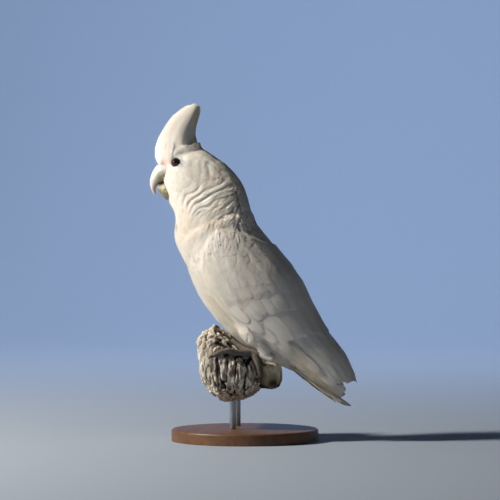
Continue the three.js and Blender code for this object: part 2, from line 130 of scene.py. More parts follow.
def area_light(name, direction, distance, size, watts, colour, target=aim):
    """A round soft light that looks at its target from a direction."""
    data = bpy.data.lights.new(name, "AREA")
    data.shape = "DISK"
    data.size = size
    data.energy = watts
    data.color = colour
    lamp = add_object(name, data)
    way = Vector(direction).normalized()
    lamp.location = target + way * distance
    lamp.rotation_euler = (-way).to_track_quat("-Z", "Y").to_euler()
    return data


WALL = Vector((0, 4.4, 1.0))
FACE = Vector((-54, 0, 330)) * MM
area_light("key", (-0.80, -0.27, 0.53), 2.2, 0.34, 65, (1.0, 0.94, 0.84))
area_light("fill", (0.35, -0.9, 0.45), 2.6, 1.6, 0.4, (0.82, 0.89, 1.0))
area_light("rim", (0.6, 0.8, 0.7), 2.4, 1.2, 0.5, (0.82, 0.90, 1.0))
face_light = area_light("face", (-0.76, -0.6, 0.2), 1.6, 0.08, 0.05, (1.0, 0.95, 0.88), FACE)
face_light.spread = math.radians(10)
area_light("wall", (0, -0.85, 0.5), 3.2, 2.5, 80, (0.54, 0.71, 1.0), WALL)

world = bpy.data.worlds.new("studio")
bpy.context.scene.world = world
world.use_nodes = True
world.node_tree.nodes["Background"].inputs["Color"].default_value = (0.62, 0.71, 0.85, 1)
world.node_tree.nodes["Background"].inputs["Strength"].default_value = 0.028
bpy.context.scene.view_settings.view_transform = "Standard"
print("lamps, W:", {lamp.name: round(lamp.energy, 2) for lamp in bpy.data.lights})

# %% [markdown]
# ## Materials
# One function turns an sRGB hex colour to linear, and one adds a node with its settings and links.
# A few more give what several materials share: painted points, mottling, cloudy noise and bump.

# %% Colour


def linear(hex_colour):
    """An sRGB hex colour as the four linear numbers that Blender's sockets take."""
    channels = [int(hex_colour[i:i + 2], 16) / 255 for i in (1, 3, 5)]
    straight = [c / 12.92 if c <= 0.04045 else ((c + 0.055) / 1.055) ** 2.4 for c in channels]
    return (*straight, 1.0)


def pigment(hex_colour):
    """The same colour as an array of three, to be mixed point by point."""
    return np.array(linear(hex_colour)[:3])


print("mid grey, linear:", round(linear("#808080")[0], 3))

# %% Nodes and materials


def add_node(tree, kind, settings=None, **links):
    """Adds a node, sets its properties, and sets or links its inputs by name or position."""
    node = tree.nodes.new(kind)
    for key, value in (settings or {}).items():
        setattr(node, key, value)
    for key, value in links.items():
        index = int(key[1:]) if key[0] == "i" and key[1:].isdigit() else key.replace("_", " ")
        socket = node.inputs[index]
        if isinstance(value, bpy.types.NodeSocket):
            tree.links.new(value, socket)
        else:
            socket.default_value = value
    return node


def new_material(name, roughness, **settings):
    """A material with one Principled shader; its uniform values go on the shader's own sockets."""
    material = bpy.data.materials.new(name)
    material.use_nodes = True
    tree = material.node_tree
    shader = tree.nodes["Principled BSDF"]
    shader.inputs["Roughness"].default_value = roughness
    for key, value in settings.items():
        shader.inputs[key.replace("_", " ")].default_value = value
    return material, tree, shader

# %% Parts that many materials share


def object_coordinates(tree):
    """Places in the piece's own space, so that a pattern stays with the piece."""
    return add_node(tree, "ShaderNodeTexCoord").outputs["Object"]


def stretched(tree, scale):
    """The same coordinates with a scale for each axis; a pattern is drawn out where it is small."""
    return add_node(tree, "ShaderNodeMapping", Vector=object_coordinates(tree), Scale=scale).outputs[0]


def noise_share(tree, place, frequency, detail):
    """A cloudy pattern from 0 to 1; frequency is in waves per mm."""
    clouds = add_node(tree, "ShaderNodeTexNoise", Vector=place, Scale=frequency / MM, Detail=detail)
    return clouds.outputs["Fac"]


def take_tint(tree, shader):
    """The base colour comes from the piece's own painted points."""
    tint = add_node(tree, "ShaderNodeAttribute", {"attribute_name": "tint"})
    tree.links.new(tint.outputs["Color"], shader.inputs["Base Color"])


def mottled(tree, shader, share, dark, pale):
    """The base colour goes from dark to pale with a share of 0 to 1."""
    mixed = add_node(tree, "ShaderNodeMix", {"data_type": "RGBA"}, i0=share, i6=linear(dark),
                     i7=linear(pale))
    tree.links.new(mixed.outputs[2], shader.inputs["Base Color"])


def roughen(tree, shader, height, strength, distance):
    """Bump from a height; distance is in mm."""
    bump = add_node(tree, "ShaderNodeBump", Strength=strength, Distance=distance * MM, Height=height)
    tree.links.new(bump.outputs["Normal"], shader.inputs["Normal"])


def paint(piece, colours):
    """Writes one colour for each point of a piece in its attribute called tint."""
    layer = piece.data.color_attributes.new("tint", "FLOAT_COLOR", "POINT")
    filled = np.ones((len(colours), 4), np.float32)
    filled[:, :3] = colours
    layer.data.foreach_set("color", filled.ravel())


print("materials so far:", len(bpy.data.materials))

# %% Floor
FLOOR_SIZE = 12.0
SWEEP_START = 2.2
SWEEP_RADIUS = 2.5
SWEEP_STEPS = 12


def floor_profile():
    """The floor runs back and sweeps up into a wall, so that no horizon shows."""
    points = [(-FLOOR_SIZE / 2, 0.0), (SWEEP_START, 0.0)]
    for step in range(1, SWEEP_STEPS + 1):
        turn = math.radians(90 * step / SWEEP_STEPS)
        points.append((SWEEP_START + SWEEP_RADIUS * math.sin(turn), SWEEP_RADIUS * (1 - math.cos(turn))))
    points.append((SWEEP_START + SWEEP_RADIUS, FLOOR_SIZE / 2))
    return points


def make_floor():
    """A sheet of pale paper under and behind the model."""
    profile = floor_profile()
    verts = [(x, y, z) for y, z in profile for x in (-FLOOR_SIZE, FLOOR_SIZE)]
    faces = [(2 * i, 2 * i + 1, 2 * i + 3, 2 * i + 2) for i in range(len(profile) - 1)]
    mesh = bpy.data.meshes.new("floor")
    mesh.from_pydata(verts, [], faces)
    mesh.shade_smooth()
    floor = add_object("floor", mesh)
    # Matt paper has no gloss, so the floor takes only the soft shadow.
    material, tree, shader = new_material("floor_matt_paper", 0.9)
    shader.inputs["Base Color"].default_value = linear("#a9b5c6")
    mesh.materials.append(material)
    print("floor:", len(faces), "faces")


make_floor()

# %% [markdown]
# ## The plumage ground
# Feathers lie on a smooth form. Here copies of the flesh solids are swelled, melted together with a
# voxel remesh, smoothed and brought back to size, which fills the creases between them. That closed
# surface is the ground, the outer envelope of the plumage. The neck's folds, the ruff's edge and
# soft lumps are pressed into it before any feather is laid.

# %% Merged copies of CAD nodes
FLESH = ("head", "neck", "trunk", "wing_left", "wing_right", "thigh_left", "thigh_right")


def merged_copy(names, swell):
    """CAD copies in one bmesh, their split corners merged and their surface swelled a little."""
    form = bmesh.new()
    for name in names:
        piece = bmesh.new()
        piece.from_mesh(nodes[name].data)
        bmesh.ops.remove_doubles(piece, verts=piece.verts, dist=0.002 * MM)
        bmesh.ops.recalc_face_normals(piece, faces=piece.faces)
        piece.normal_update()
        for vert in piece.verts:
            vert.co += vert.normal * swell
        scratch = bpy.data.meshes.new("scratch")
        piece.to_mesh(scratch)
        form.from_mesh(scratch)
        piece.free()
        bpy.data.meshes.remove(scratch)
    return form


print("flesh solids:", ", ".join(FLESH))

# %% Melted copies


def melted(names, swell, voxel, smoothing, name):
    """One closed smooth mesh object around the named CAD nodes."""
    form = merged_copy(names, swell)
    mesh = bpy.data.meshes.new(name)
    form.to_mesh(mesh)
    form.free()
    shaped = add_object(name, mesh)
    remesh = shaped.modifiers.new("melt", "REMESH")
    remesh.mode = "VOXEL"
    remesh.voxel_size = voxel
    smooth = shaped.modifiers.new("smooth", "SMOOTH")
    smooth.iterations = smoothing
    evaluated = shaped.evaluated_get(bpy.context.evaluated_depsgraph_get())
    shaped.data = bpy.data.meshes.new_from_object(evaluated)
    shaped.modifiers.clear()
    shaped.data.name = name
    shaped.data.shade_smooth()
    return shaped

# %% Points and normals as arrays


def points_of(mesh):
    """A mesh's points, one row each, in m."""
    values = np.empty(len(mesh.vertices) * 3)
    mesh.vertices.foreach_get("co", values)
    return values.reshape(-1, 3)


def normals_of(mesh):
    """A mesh's point normals, one row each."""
    values = np.empty(len(mesh.vertices) * 3)
    mesh.vertex_normals.foreach_get("vector", values)
    return values.reshape(-1, 3)


def set_points(mesh, points):
    """Moves a mesh's points to new places."""
    mesh.vertices.foreach_set("co", np.asarray(points, dtype=np.float32).ravel())
    mesh.update()


print("points of the perch in the CAD:", len(points_of(nodes["perch"].data)))

# %% Side view and directions


def side_view(points):
    """Each point's x and height in mm, as the camera sees them."""
    return points[:, (0, 2)] / MM


def unit(vectors):
    """Vectors brought to a length of 1."""
    return vectors / np.maximum(np.linalg.norm(vectors, axis=-1, keepdims=True), 1e-9)


def along_surface(ways, normals):
    """Unit directions with the part that points out of the surface taken away."""
    return unit(ways - normals * (ways * normals).sum(axis=1)[:, None])

# %% Soft steps and lines


def smooth_step(value, low, high):
    """0 below low, 1 above high, and a soft rise between them."""
    t = np.clip((value - low) / (high - low), 0, 1)
    return t * t * (3 - 2 * t)


def side_of_line(flat, line):
    """Signed distance in mm from points in side view to a line of corners; left of it is positive."""
    best = np.full(len(flat), 1e9)
    sign = np.ones(len(flat))
    for start, end in zip(line[:-1], line[1:]):
        start, end = np.array(start, float), np.array(end, float)
        along = end - start
        t = np.clip(((flat - start) @ along) / (along @ along), 0, 1)
        away = flat - (start + t[:, None] * along)
        distance = np.hypot(away[:, 0], away[:, 1])
        turn = along[0] * away[:, 1] - along[1] * away[:, 0]
        nearer = distance < best
        best = np.where(nearer, distance, best)
        sign = np.where(nearer, np.sign(turn), sign)
    return best * sign

# %% Folds of the neck
# All in mm: how high the folds stand, the centre they curve round, and where they are strongest.
NECK_FOLD = 1.2
FOLD_CENTRE = (24, 216)
FOLD_HEART = (-30, 303)
FOLD_REACH = (46, 27)
FOLD_PITCH = 8.2


def neck_folds(flat):
    """Curved ridges round a centre behind the shoulder, strong at the heart of the neck, in mm."""
    away = (flat - FOLD_HEART) / FOLD_REACH
    share = np.exp(-((away ** 2).sum(axis=1)) ** 2)
    across = np.hypot(*(flat - FOLD_CENTRE).T)
    waver = np.array([noise.noise(Vector((p[0] * 0.045, p[1] * 0.045, 3.1))) for p in flat])
    phase = 2 * np.pi * (across / FOLD_PITCH + 1.3 * waver)
    strength = 0.6 + 1.5 * np.array([noise.noise(Vector((p[0] * 0.03, p[1] * 0.06, 9.4))) for p in flat])
    return NECK_FOLD * share * strength * (np.sin(phase) + 0.35 * np.sin(2 * phase + 0.9))

# %% Relief of the plumage
# The ruff is the long neck feathers; they end at a step over the breast, with a hollow below it.
RUFF_EDGE = ((6, 284), (-11, 281), (-46, 268), (-64, 259), (-77, 244), (-80, 222))
RUFF_STEP = 1.9
RUFF_HOLLOW = 0.9
LUMPS = 0.5
EAR = (-45, 338)
EAR_FLUFF = 1.1
SHOULDER = (-24, 255)
SHOULDER_FLUFF = 0.7


def bump_at(flat, centre, reach):
    """A soft hill in side view, 1 at its centre."""
    return np.exp(-(((flat - centre) / reach) ** 2).sum(axis=1))


def relief(points, normals):
    """How far the plumage stands out or in at each point, in mm."""
    flat = side_view(points)
    flank = np.abs(normals[:, 1]) ** 0.7
    ruff = side_of_line(flat, RUFF_EDGE)
    lip = smooth_step(-ruff, -16, -1) * (1 - smooth_step(-ruff, -1, 2.5))
    hollow = np.exp(-((-ruff - 4.5) / 5) ** 2)
    lumps = np.array([noise.noise(Vector(p / MM * 0.045)) for p in points])
    fluff = np.array([noise.noise(Vector(p / MM * 0.15)) for p in points])
    ear = bump_at(flat, EAR, (24, 18))
    shoulder = bump_at(flat, SHOULDER, (20, 16))
    return (flank * (neck_folds(flat) + RUFF_STEP * lip - RUFF_HOLLOW * hollow) + LUMPS * lumps
            + EAR_FLUFF * ear * fluff + SHOULDER_FLUFF * shoulder * fluff)

# %% Ground
GROUND_VOXEL = 1.5 * MM
GROUND_SWELL = 3.2
BACK_FULLNESS = 1.2
GROUND_NODES = FLESH + ("wing_tip_left", "wing_tip_right")

ground = melted(GROUND_NODES, GROUND_SWELL * MM, GROUND_VOXEL, 15, "ground")
level_points = points_of(ground.data)
level_normals = normals_of(ground.data)
fuller = 0.3 + BACK_FULLNESS * smooth_step(level_normals[:, 0], 0.1, 0.8)
level_points = level_points - level_normals * (GROUND_SWELL - fuller)[:, None] * MM
rise = relief(level_points, level_normals)
set_points(ground.data, level_points + level_normals * rise[:, None] * MM)
print("relief of the plumage, mm:", rise.min().round(2), "to", rise.max().round(2))

# %% Finding places on a surface
CAST_FROM = 0.15


class Surface:
    """A mesh that gives the nearest place on it, with a smooth normal, for many points at once."""

    def __init__(self, mesh):
        self.points = points_of(mesh)
        faces = [tuple(p.vertices) for p in mesh.polygons]
        self.tree = BVHTree.FromPolygons([tuple(p) for p in self.points], faces)
        corner_normals = normals_of(mesh)
        self.normals = np.array([corner_normals[list(f)].mean(axis=0) for f in faces])
        self.normals /= np.linalg.norm(self.normals, axis=1)[:, None]

    def nearest(self, points):
        """The nearest place and its normal for each point."""
        hits = [self.tree.find_nearest(p) for p in points.reshape(-1, 3).tolist()]
        places = np.array([h[0] for h in hits]).reshape(points.shape)
        normals = self.normals[[h[2] for h in hits]].reshape(points.shape)
        return places, normals

    def cast(self, starts, ways):
        """The last place where each ray leaves the surface."""
        places, normals = [], []
        for start, way in zip(starts.tolist(), ways.tolist()):
            far = Vector(start) + Vector(way) * CAST_FROM
            place, _, index, _ = self.tree.ray_cast(far, -Vector(way))
            if place is None:
                place, _, index, _ = self.tree.find_nearest(start)
            places.append(place)
            normals.append(self.normals[index])
        return np.array(places), np.array(normals)


def surface_of(form):
    """Keeps the surface of a form and puts the form itself away."""
    surface = Surface(form.data)
    bpy.data.objects.remove(form)
    return surface


on_ground = surface_of(ground)
print("ground:", len(on_ground.points), "points,", len(on_ground.normals), "faces")

# %% [markdown]
# ## Places on the bird
# A line through the middle of the bird, from bill to tail, gives each point two numbers: how far along the
# bird it is, and the clock angle round that line. They unwrap the skin like the paper on a tube, they sort
# the feathers into pieces, and they set how deep the coat is and how large its feathers grow.

# %% Spine
SPINE = np.array([(-100, 338), (-66, 338), (-44, 312), (-36, 262), (-8, 212), (34, 158),
                  (76, 108), (112, 66), (150, 20)], float)
SPINE_RUN = np.concatenate([[0], np.cumsum(np.hypot(*np.diff(SPINE, axis=0).T))])
print("spine length, mm:", round(SPINE_RUN[-1]))


def station_and_clock(points):
    """Distance along the spine in mm, and the angle from the back, 0, to the belly, pi."""
    flat = side_view(points)
    best = np.full(len(flat), 1e9)
    station = np.zeros(len(flat))
    lift = np.zeros(len(flat))
    for i in range(len(SPINE) - 1):
        along = SPINE[i + 1] - SPINE[i]
        size = np.hypot(*along)
        t = np.clip(((flat - SPINE[i]) @ along) / size ** 2, 0, 1)
        away = flat - (SPINE[i] + t[:, None] * along)
        distance = np.hypot(away[:, 0], away[:, 1])
        nearer = distance < best
        best = np.where(nearer, distance, best)
        station = np.where(nearer, SPINE_RUN[i] + t * size, station)
        back = np.array((-along[1], along[0])) / size
        lift = np.where(nearer, away @ back, lift)
    return station, np.arctan2(np.abs(points[:, 1]) / MM, lift)


def unwrapped(points):
    """The skin's own flat map: right half above, left half below, bill to tail from left to right."""
    station, clock = station_and_clock(points)
    side = np.where(points[:, 1] < 0, -1, 1)
    return np.stack([0.02 + 0.96 * station / SPINE_RUN[-1], 0.5 + side * 0.48 * clock / np.pi], axis=1)

# %% Lie of the feathers
# Each row is a place in side view, x and height in mm, and the direction of the feathers there.
# LIE is for the flanks, and MID_LIE for the throat, breast and back.
LIE = np.array([
    (-108, 352, 0.10, 1.0), (-100, 356, 0.45, 0.9), (-86, 364, 0.85, 0.5), (-70, 366, 1.0, 0.0),
    (-48, 360, 0.85, -0.5), (-25, 345, 0.75, -0.65), (-56, 345, -0.35, -0.93),
    (-72, 334, -0.15, -0.98), (-90, 334, 0.75, -0.66), (-75, 318, -0.30, -0.95),
    (-94, 304, 0.30, -0.95), (-12, 314, -0.93, -0.36), (-38, 305, -0.88, -0.47),
    (-58, 292, -0.72, -0.69), (-14, 290, -0.62, -0.78), (-85, 262, 0.1, -1.0),
    (-60, 262, -0.15, -0.98), (-30, 258, 0.2, -0.97), (20, 262, 0.5, -0.85),
    (60, 215, 0.62, -0.78), (-75, 215, 0.25, -0.97), (-50, 220, 0.35, -0.93),
    (-40, 170, 0.62, -0.78), (0, 130, 0.7, -0.71), (50, 95, 0.72, -0.69),
    (-24, 185, 0.5, -0.86), (10, 150, 0.6, -0.8), (100, 140, 0.64, -0.77)])
LIE_REACH = 15.0
MID_REACH = 22
MID_LIE = np.array([
    (-108, 352, 0.1, 1.0), (-98, 362, 0.6, 0.8), (-70, 366, 1.0, 0.0), (-25, 345, 0.75, -0.65),
    (0, 310, 0.5, -0.85), (20, 262, 0.5, -0.85), (60, 215, 0.62, -0.78), (-95, 300, 0.4, -0.9),
    (-85, 250, 0.1, -1.0), (-70, 215, 0.25, -0.97), (-40, 170, 0.62, -0.78), (0, 130, 0.7, -0.7),
    (60, 95, 0.8, -0.6)])

# %% Lie at a place


def in_profile(ways):
    """Directions in side view as directions in space."""
    return np.stack([ways[:, 0], np.zeros(len(ways)), ways[:, 1]], axis=1)


def steer(flat, table, reach):
    """Directions in side view at each point, blended from those of a table over a reach in mm."""
    gap = flat[:, None, :] - table[None, :, :2]
    weight = np.exp(-(gap ** 2).sum(axis=2) / (2 * reach ** 2)) + 1e-9
    way = weight @ table[:, 2:]
    return way / np.linalg.norm(way, axis=1)[:, None]


def lie_of_body(points, normals):
    """The way that body feathers point, as unit vectors along the surface."""
    flat = side_view(points)
    flank = (np.abs(normals[:, 1]) ** 1.5)[:, None]
    way = flank * steer(flat, LIE, LIE_REACH) + (1 - flank) * steer(flat, MID_LIE, MID_REACH)
    return along_surface(in_profile(way), normals)


print("lie at the breast, x and height:", steer(np.array([(-75.0, 250.0)]), LIE, LIE_REACH).round(2)[0])

# %% [markdown]
# ## Markings
# The bird is white, but not one white. The lores are pink, the front of the neck is a warm cream, and the
# undersides of the wings have a yellow wash. Painted shade darkens the hollow under the ruff's edge, the
# valleys between the neck folds and a patch behind the eye. One function of place gives these tints, and both
# skin and feathers take them from it.

# %% Colours of the plumage
WHITE = pigment("#f6f1e8")
CREAM = pigment("#f3e0cb")
NECK_SHADE = pigment("#cdb89a")
PINK = pigment("#ea9f8a")
YELLOW = pigment("#f1dc9a")
EAR_SHADE = pigment("#8f8a80")
print("white, linear:", WHITE.round(2))

# %% Soft marks and blends


def blotch(flat, centre, reach, turn=0.0):
    """A soft oval mark in side view, 1 at its centre."""
    away = flat - centre
    cosine, sine = math.cos(math.radians(turn)), math.sin(math.radians(turn))
    along = away[:, 0] * cosine + away[:, 1] * sine
    across = -away[:, 0] * sine + away[:, 1] * cosine
    return np.exp(-((along / reach[0]) ** 2 + (across / reach[1]) ** 2))


def blend(colours, towards, share):
    """Moves each colour towards another by its own share of 0 to 1."""
    return colours + (towards - colours) * np.clip(share, 0, 1)[:, None]


def layered(base, count, steps):
    """One base colour at every point, with each step's colour blended over it by its share."""
    colours = np.tile(base, (count, 1))
    for towards, share in steps:
        colours = blend(colours, towards, share)
    return colours


def noise_at(points, scale, shift=0.0):
    """Soft noise at each point; scale is in waves per metre."""
    return np.array([noise.noise(Vector(p) * scale + Vector((shift, 0, 0))) for p in points.tolist()])

# %% Marks
# The cream patches: their mean share, how much it changes, and their size in mm.
CREAM_SHARE = 0.22
CREAM_CHANGE = 0.3
CREAM_PATCH = 17

# Each mark: its colour, its share, its centre and its reach in side view in mm, and its turn.
MARKS = [
    (CREAM, 0.75, (-72, 268), (14, 26), 15),
    (PINK, 0.8, (-100.5, 344), (3.5, 5.5), 0),
    (PINK, 0.22, (-97, 350), (7, 5), 0),
    # Painted shade: a fawn darkening in the hollow under the ruff's edge and in the valleys of the neck
    # folds.
    (NECK_SHADE, 0.55, (-36, 272), (24, 8), 32),
    (NECK_SHADE, 0.25, (-20, 300), (24, 12), 22),
    # Painted shade: a grey patch on the feathers behind the eye.
    (EAR_SHADE, 0.35, (-68, 346), (6, 5), 0),
    (YELLOW, 0.28, (-28, 162), (52, 18), -62),
    (YELLOW, 0.45, (84, 88), (40, 8), -50),
]


def markings(points):
    """Linear plumage colour at each point: white, with cream patches and then each mark."""
    flat = side_view(points)
    patches = CREAM_SHARE + CREAM_CHANGE * noise_at(points, 1 / (CREAM_PATCH * MM))
    marks = [(colour, share * blotch(flat, *oval)) for colour, share, *oval in MARKS]
    return layered(WHITE, len(points), [(CREAM, patches), *marks])


print("marks:", len(MARKS))

# %% [markdown]
# ## One feather
# A feather is a thin vane: narrow at the root, widest in the middle, round or pointed at the tip.
# Here it is a closed sheet, with a top, an underside and one shared rim. The top is a small grid of
# points laid on the ground and lifted, so that each feather rises from the skin to the surface and
# covers the roots of those behind it, as roof tiles do.

# %% Vane shapes
VANES = {
    "tuft": ((0, .3), (.35, .8), (.65, 1), (.85, .8), (1, .4)),
    "soft": ((0, .35), (.22, .78), (.45, 1), (.65, 1), (.8, .93), (.91, .78), (1, .5)),
    "lance": ((0, .4), (.25, .85), (.5, 1), (.72, .86), (.88, .6), (1, .28)),
    "round": ((0, .35), (.22, .75), (.45, .96), (.64, 1), (.78, .99), (.88, .94), (.95, .84), (1, .68)),
    "crest": ((0, .5), (.15, .75), (.35, .95), (.55, 1), (.72, .93), (.85, .74), (.94, .5), (1, .26)),
    "blade": ((0, .5), (.14, .7), (.3, .86), (.5, .97), (.7, 1), (.84, .98), (.93, .89), (.98, .75),
              (1, .64)),
}
print("vane shapes:", ", ".join(VANES))

# %% Centre lines along the lie


def jitter(generator, count, share):
    """Random factors near 1 that stray by a share at most."""
    return 1 + generator.uniform(-share, share, count)


def walk(surface, lie, roots, normals, lengths, stations, splay):
    """Centre lines that start at the roots and follow the lie along the surface."""
    places, uprights, headings = [roots], [normals], []
    point, normal = roots, normals
    cosine, sine = np.cos(splay)[:, None], np.sin(splay)[:, None]
    for start, end in zip(stations[:-1], stations[1:]):
        way = lie(point, normal)
        way = way * cosine + np.cross(normal, way) * sine
        headings.append(way)
        point, normal = surface.nearest(point + way * ((end - start) * lengths)[:, None])
        places.append(point)
        uprights.append(normal)
    headings.append(headings[-1])
    return np.stack(places, 1), np.stack(uprights, 1), np.stack(headings, 1)

# %% Top of the vane
# Rows run across each vane from root to tip, and columns run along it on both sides of the shaft.
TIP_ROUND = 0.35
FLATTEST = 0.2


def spread_out(random, paths, widths, lengths, shape, cross, rag):
    """Flat rows of points across each centre line, and how far each point is from the shaft, in m."""
    centres, uprights, headings = paths
    stations, outline = np.array(VANES[shape]).T
    sideways = unit(np.cross(uprights, headings))
    half = widths[:, None] * outline[None, :] / 2
    offsets = half[:, :, None] * cross[None, None, :]
    flat = centres[:, :, None, :] + sideways[:, :, None, :] * offsets[..., None]
    if rag:
        push = random.normal(0, rag, (len(widths), 1, len(cross))) * lengths[:, None, None]
        push = push * (stations ** 3)[None, :, None]
        flat = flat + headings[:, :, None, :] * push[..., None]
    pull_back = TIP_ROUND * half[:, -1:, None] * (cross ** 2) * (stations ** 4)[None, :, None]
    return flat - headings[:, :, None, :] * pull_back[..., None], offsets


def drawn_to(surface, flat, uprights, conform, most_pull):
    """Draws points to a surface: conform is the share of the way, and most_pull the limit in mm."""
    if not conform:
        return flat, np.repeat(uprights[:, :, None, :], flat.shape[2], axis=2)
    near, normal = surface.nearest(flat)
    pull = (near - flat) * conform
    size = np.linalg.norm(pull, axis=-1, keepdims=True)
    return flat + pull * np.minimum(1, most_pull * MM / np.maximum(size, 1e-9)), normal


def lies_flat(top, normal):
    """False for a vane that a sharp hollow of the ground has folded over."""
    down = top[:, 1:, :-1] - top[:, :-1, :-1]
    over = top[:, :-1, 1:] - top[:, :-1, :-1]
    facing = unit(np.cross(down, over))
    facing_far = unit(np.cross(top[:, 1:, 1:] - top[:, :-1, 1:], top[:, 1:, 1:] - top[:, 1:, :-1]))
    agree = (facing * normal[:, :-1, :-1]).sum(axis=-1).min(axis=(1, 2))
    agree_far = (facing_far * normal[:, 1:, 1:]).sum(axis=-1).min(axis=(1, 2))
    return np.minimum(agree, agree_far) > FLATTEST

# %% Faces of one vane


def vane_faces(rows, across):
    """Four-cornered faces of one vane: a full grid on top, and an inner grid under it."""
    upper = rows * across
    top_index = np.arange(upper).reshape(rows, across)
    low_index = top_index.copy()
    low_index[1:-1, 1:-1] = upper + np.arange((rows - 2) * (across - 2)).reshape(rows - 2, across - 2)
    faces = []
    for i in range(rows - 1):
        for j in range(across - 1):
            faces.append((top_index[i, j], top_index[i + 1, j], top_index[i + 1, j + 1], top_index[i, j + 1]))
            faces.append((low_index[i, j], low_index[i, j + 1], low_index[i + 1, j + 1], low_index[i + 1, j]))
    return np.array(faces)


def both_sides(grid):
    """The values of a grid for a vane's top points, followed by those for its underside."""
    count, _, _, size = grid.shape
    return np.concatenate([grid.reshape(count, -1, size), grid[:, 1:-1, 1:-1].reshape(count, -1, size)], 1)


print("faces of a vane of 6 rows and 5 columns:", len(vane_faces(6, 5)))

# %% Arrays of many vanes
TUFT_PATCH = 0.003


def vane_arrays(top, under, offsets, along, value):
    """Points, faces, both maps and the shade of a batch of vanes."""
    count, rows, across = top.shape[:3]
    points = np.concatenate([top.reshape(count, -1, 3), under.reshape(count, -1, 3)], axis=1)
    each = points.shape[1]
    faces = (vane_faces(rows, across)[None] + (np.arange(count) * each)[:, None, None]).reshape(-1, 4)
    along = np.broadcast_to(along[:, :, None], (count, rows, across))
    vane = both_sides(np.stack([offsets, along], axis=-1))
    local_x = np.linspace(-.5, .5, across)[None, :].repeat(rows, 0)
    local_y = np.linspace(-.5, .5, rows)[:, None].repeat(across, 1)
    local = both_sides(np.stack([local_y, local_x], axis=-1)[None])
    bake = unwrapped(top[:, 0, across // 2])[:, None, :] + TUFT_PATCH * local
    return points.reshape(-1, 3), faces, vane.reshape(-1, 2), bake.reshape(-1, 2), np.repeat(value, each)


def joined(batches):
    """One set of arrays from many batches, with the faces counted on."""
    starts = np.cumsum([0] + [len(batch[0]) for batch in batches[:-1]])
    points, faces, vanes, bakes, values = zip(*batches)
    faces = [block + start for block, start in zip(faces, starts)]
    return [np.concatenate(blocks) for blocks in (points, faces, vanes, bakes, values)]

# %% Mesh from arrays
SHARP_EDGE = math.radians(75)


def map_points(mesh, name, places):
    """A UV map that gives every corner the place of its point."""
    corners = np.empty(len(mesh.loops), dtype=np.int32)
    mesh.loops.foreach_get("vertex_index", corners)
    layer = mesh.uv_layers.new(name=name)
    layer.data.foreach_set("uv", places[corners].astype(np.float32).ravel())


def mesh_piece(name, points, faces):
    """A mesh object from arrays of points and four-cornered faces."""
    mesh = bpy.data.meshes.new(name)
    mesh.vertices.add(len(points))
    mesh.vertices.foreach_set("co", points.astype(np.float32).ravel())
    mesh.loops.add(faces.size)
    mesh.loops.foreach_set("vertex_index", faces.astype(np.int32).ravel())
    mesh.polygons.add(len(faces))
    mesh.polygons.foreach_set("loop_start", np.arange(0, faces.size, 4, dtype=np.int32))
    mesh.update(calc_edges=True)
    mesh.validate()
    return add_object(name, mesh)

# %% A coat of vanes


class Feathers:
    """Collects the vanes of one piece and makes them one mesh."""

    def __init__(self, name, seed):
        self.name = name
        self.random = np.random.default_rng(seed)
        self.parts = []
        self.left_out = 0

    def lay(self, surface, paths, widths, lengths, shape, across=5, depth=3.0, lift=0.3, fall=3.5,
            arch=0.25, thick=0.22, rag=0.06, roll=0.1, edge_drop=0.0, tone=0.03, conform=1.0,
            most_pull=4.0):
        """Adds vanes. Root depth, tip lift, arch and thickness are in mm."""
        stations, outline = np.array(VANES[shape]).T
        cross = np.linspace(-1, 1, across)
        flat, offsets = spread_out(self.random, paths, widths, lengths, shape, cross, rag)
        place, normal = drawn_to(surface, flat, paths[1], conform, most_pull)
        depth = np.broadcast_to(np.asarray(depth, float), (len(widths),))
        height = lift * stations[None, :] - depth[:, None] * (1 - stations[None, :]) ** fall
        height = height[:, :, None] + arch * (1 - cross ** 2)[None, None, :] * outline[None, :, None]
        lean = self.random.normal(0, roll, len(widths))
        height = height + lean[:, None, None] * offsets / MM
        height = height - edge_drop * (np.abs(cross) ** 3)[None, None, :]
        top = place + normal * height[..., None] * MM
        good = lies_flat(top, normal)
        self.left_out += int((~good).sum())
        top, normal, offsets, lengths = top[good], normal[good], offsets[good], lengths[good]
        under = top[:, 1:-1, 1:-1] - normal[:, 1:-1, 1:-1] * thick * MM
        value = self.random.normal(0, tone, len(top))
        self.parts.append((top, under, offsets / MM, stations[None, :] * lengths[:, None] / MM, value))

    def lay_along(self, surface, lie, roots, lengths, widths, shape, vary, splay, **sizes):
        """Adds one vane at each root. Lengths and widths are in m, and vary and splay are random:
        vary is a share of the length and of the width, and splay is in degrees."""
        places, normals = roots
        count = len(places)
        lengths = lengths * jitter(self.random, count, vary[0])
        widths = widths * jitter(self.random, count, vary[1])
        turn = self.random.normal(0, math.radians(splay), count)
        stations = [station for station, _ in VANES[shape]]
        paths = walk(surface, lie, places, normals, lengths, stations, turn)
        self.lay(surface, paths, widths, lengths, shape, **sizes)

    def build(self, material, markings):
        """Makes the one mesh, with its maps, its colours and its finish."""
        points, faces, vanes, bakes, values = joined([vane_arrays(*part) for part in self.parts])
        piece = mesh_piece(self.name, points, faces)
        map_points(piece.data, "OFBake", bakes)
        map_points(piece.data, "vane", vanes)
        paint(piece, markings(points) * (1 + values)[:, None])
        piece.data.shade_smooth()
        piece.data.set_sharp_from_angle(angle=SHARP_EDGE)
        piece.data.materials.append(material)
        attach(piece, BODY)
        made = sum(len(part[0]) for part in self.parts)
        print(f"{self.name}: {made} feathers, {2 * len(faces)} triangles, {self.left_out} left out")
        return piece

# %% Scattering roots
TRIES_PER_PLACE = 5


def is_crowded(cells, cell, place, spacing):
    """True when a place lies closer than one spacing to a place that is already kept."""
    for dx in (-1, 0, 1):
        for dy in (-1, 0, 1):
            for dz in (-1, 0, 1):
                for other in cells.get((cell[0] + dx, cell[1] + dy, cell[2] + dz), ()):
                    if sum((p - q) ** 2 for p, q in zip(place, other)) < spacing ** 2:
                        return True
    return False


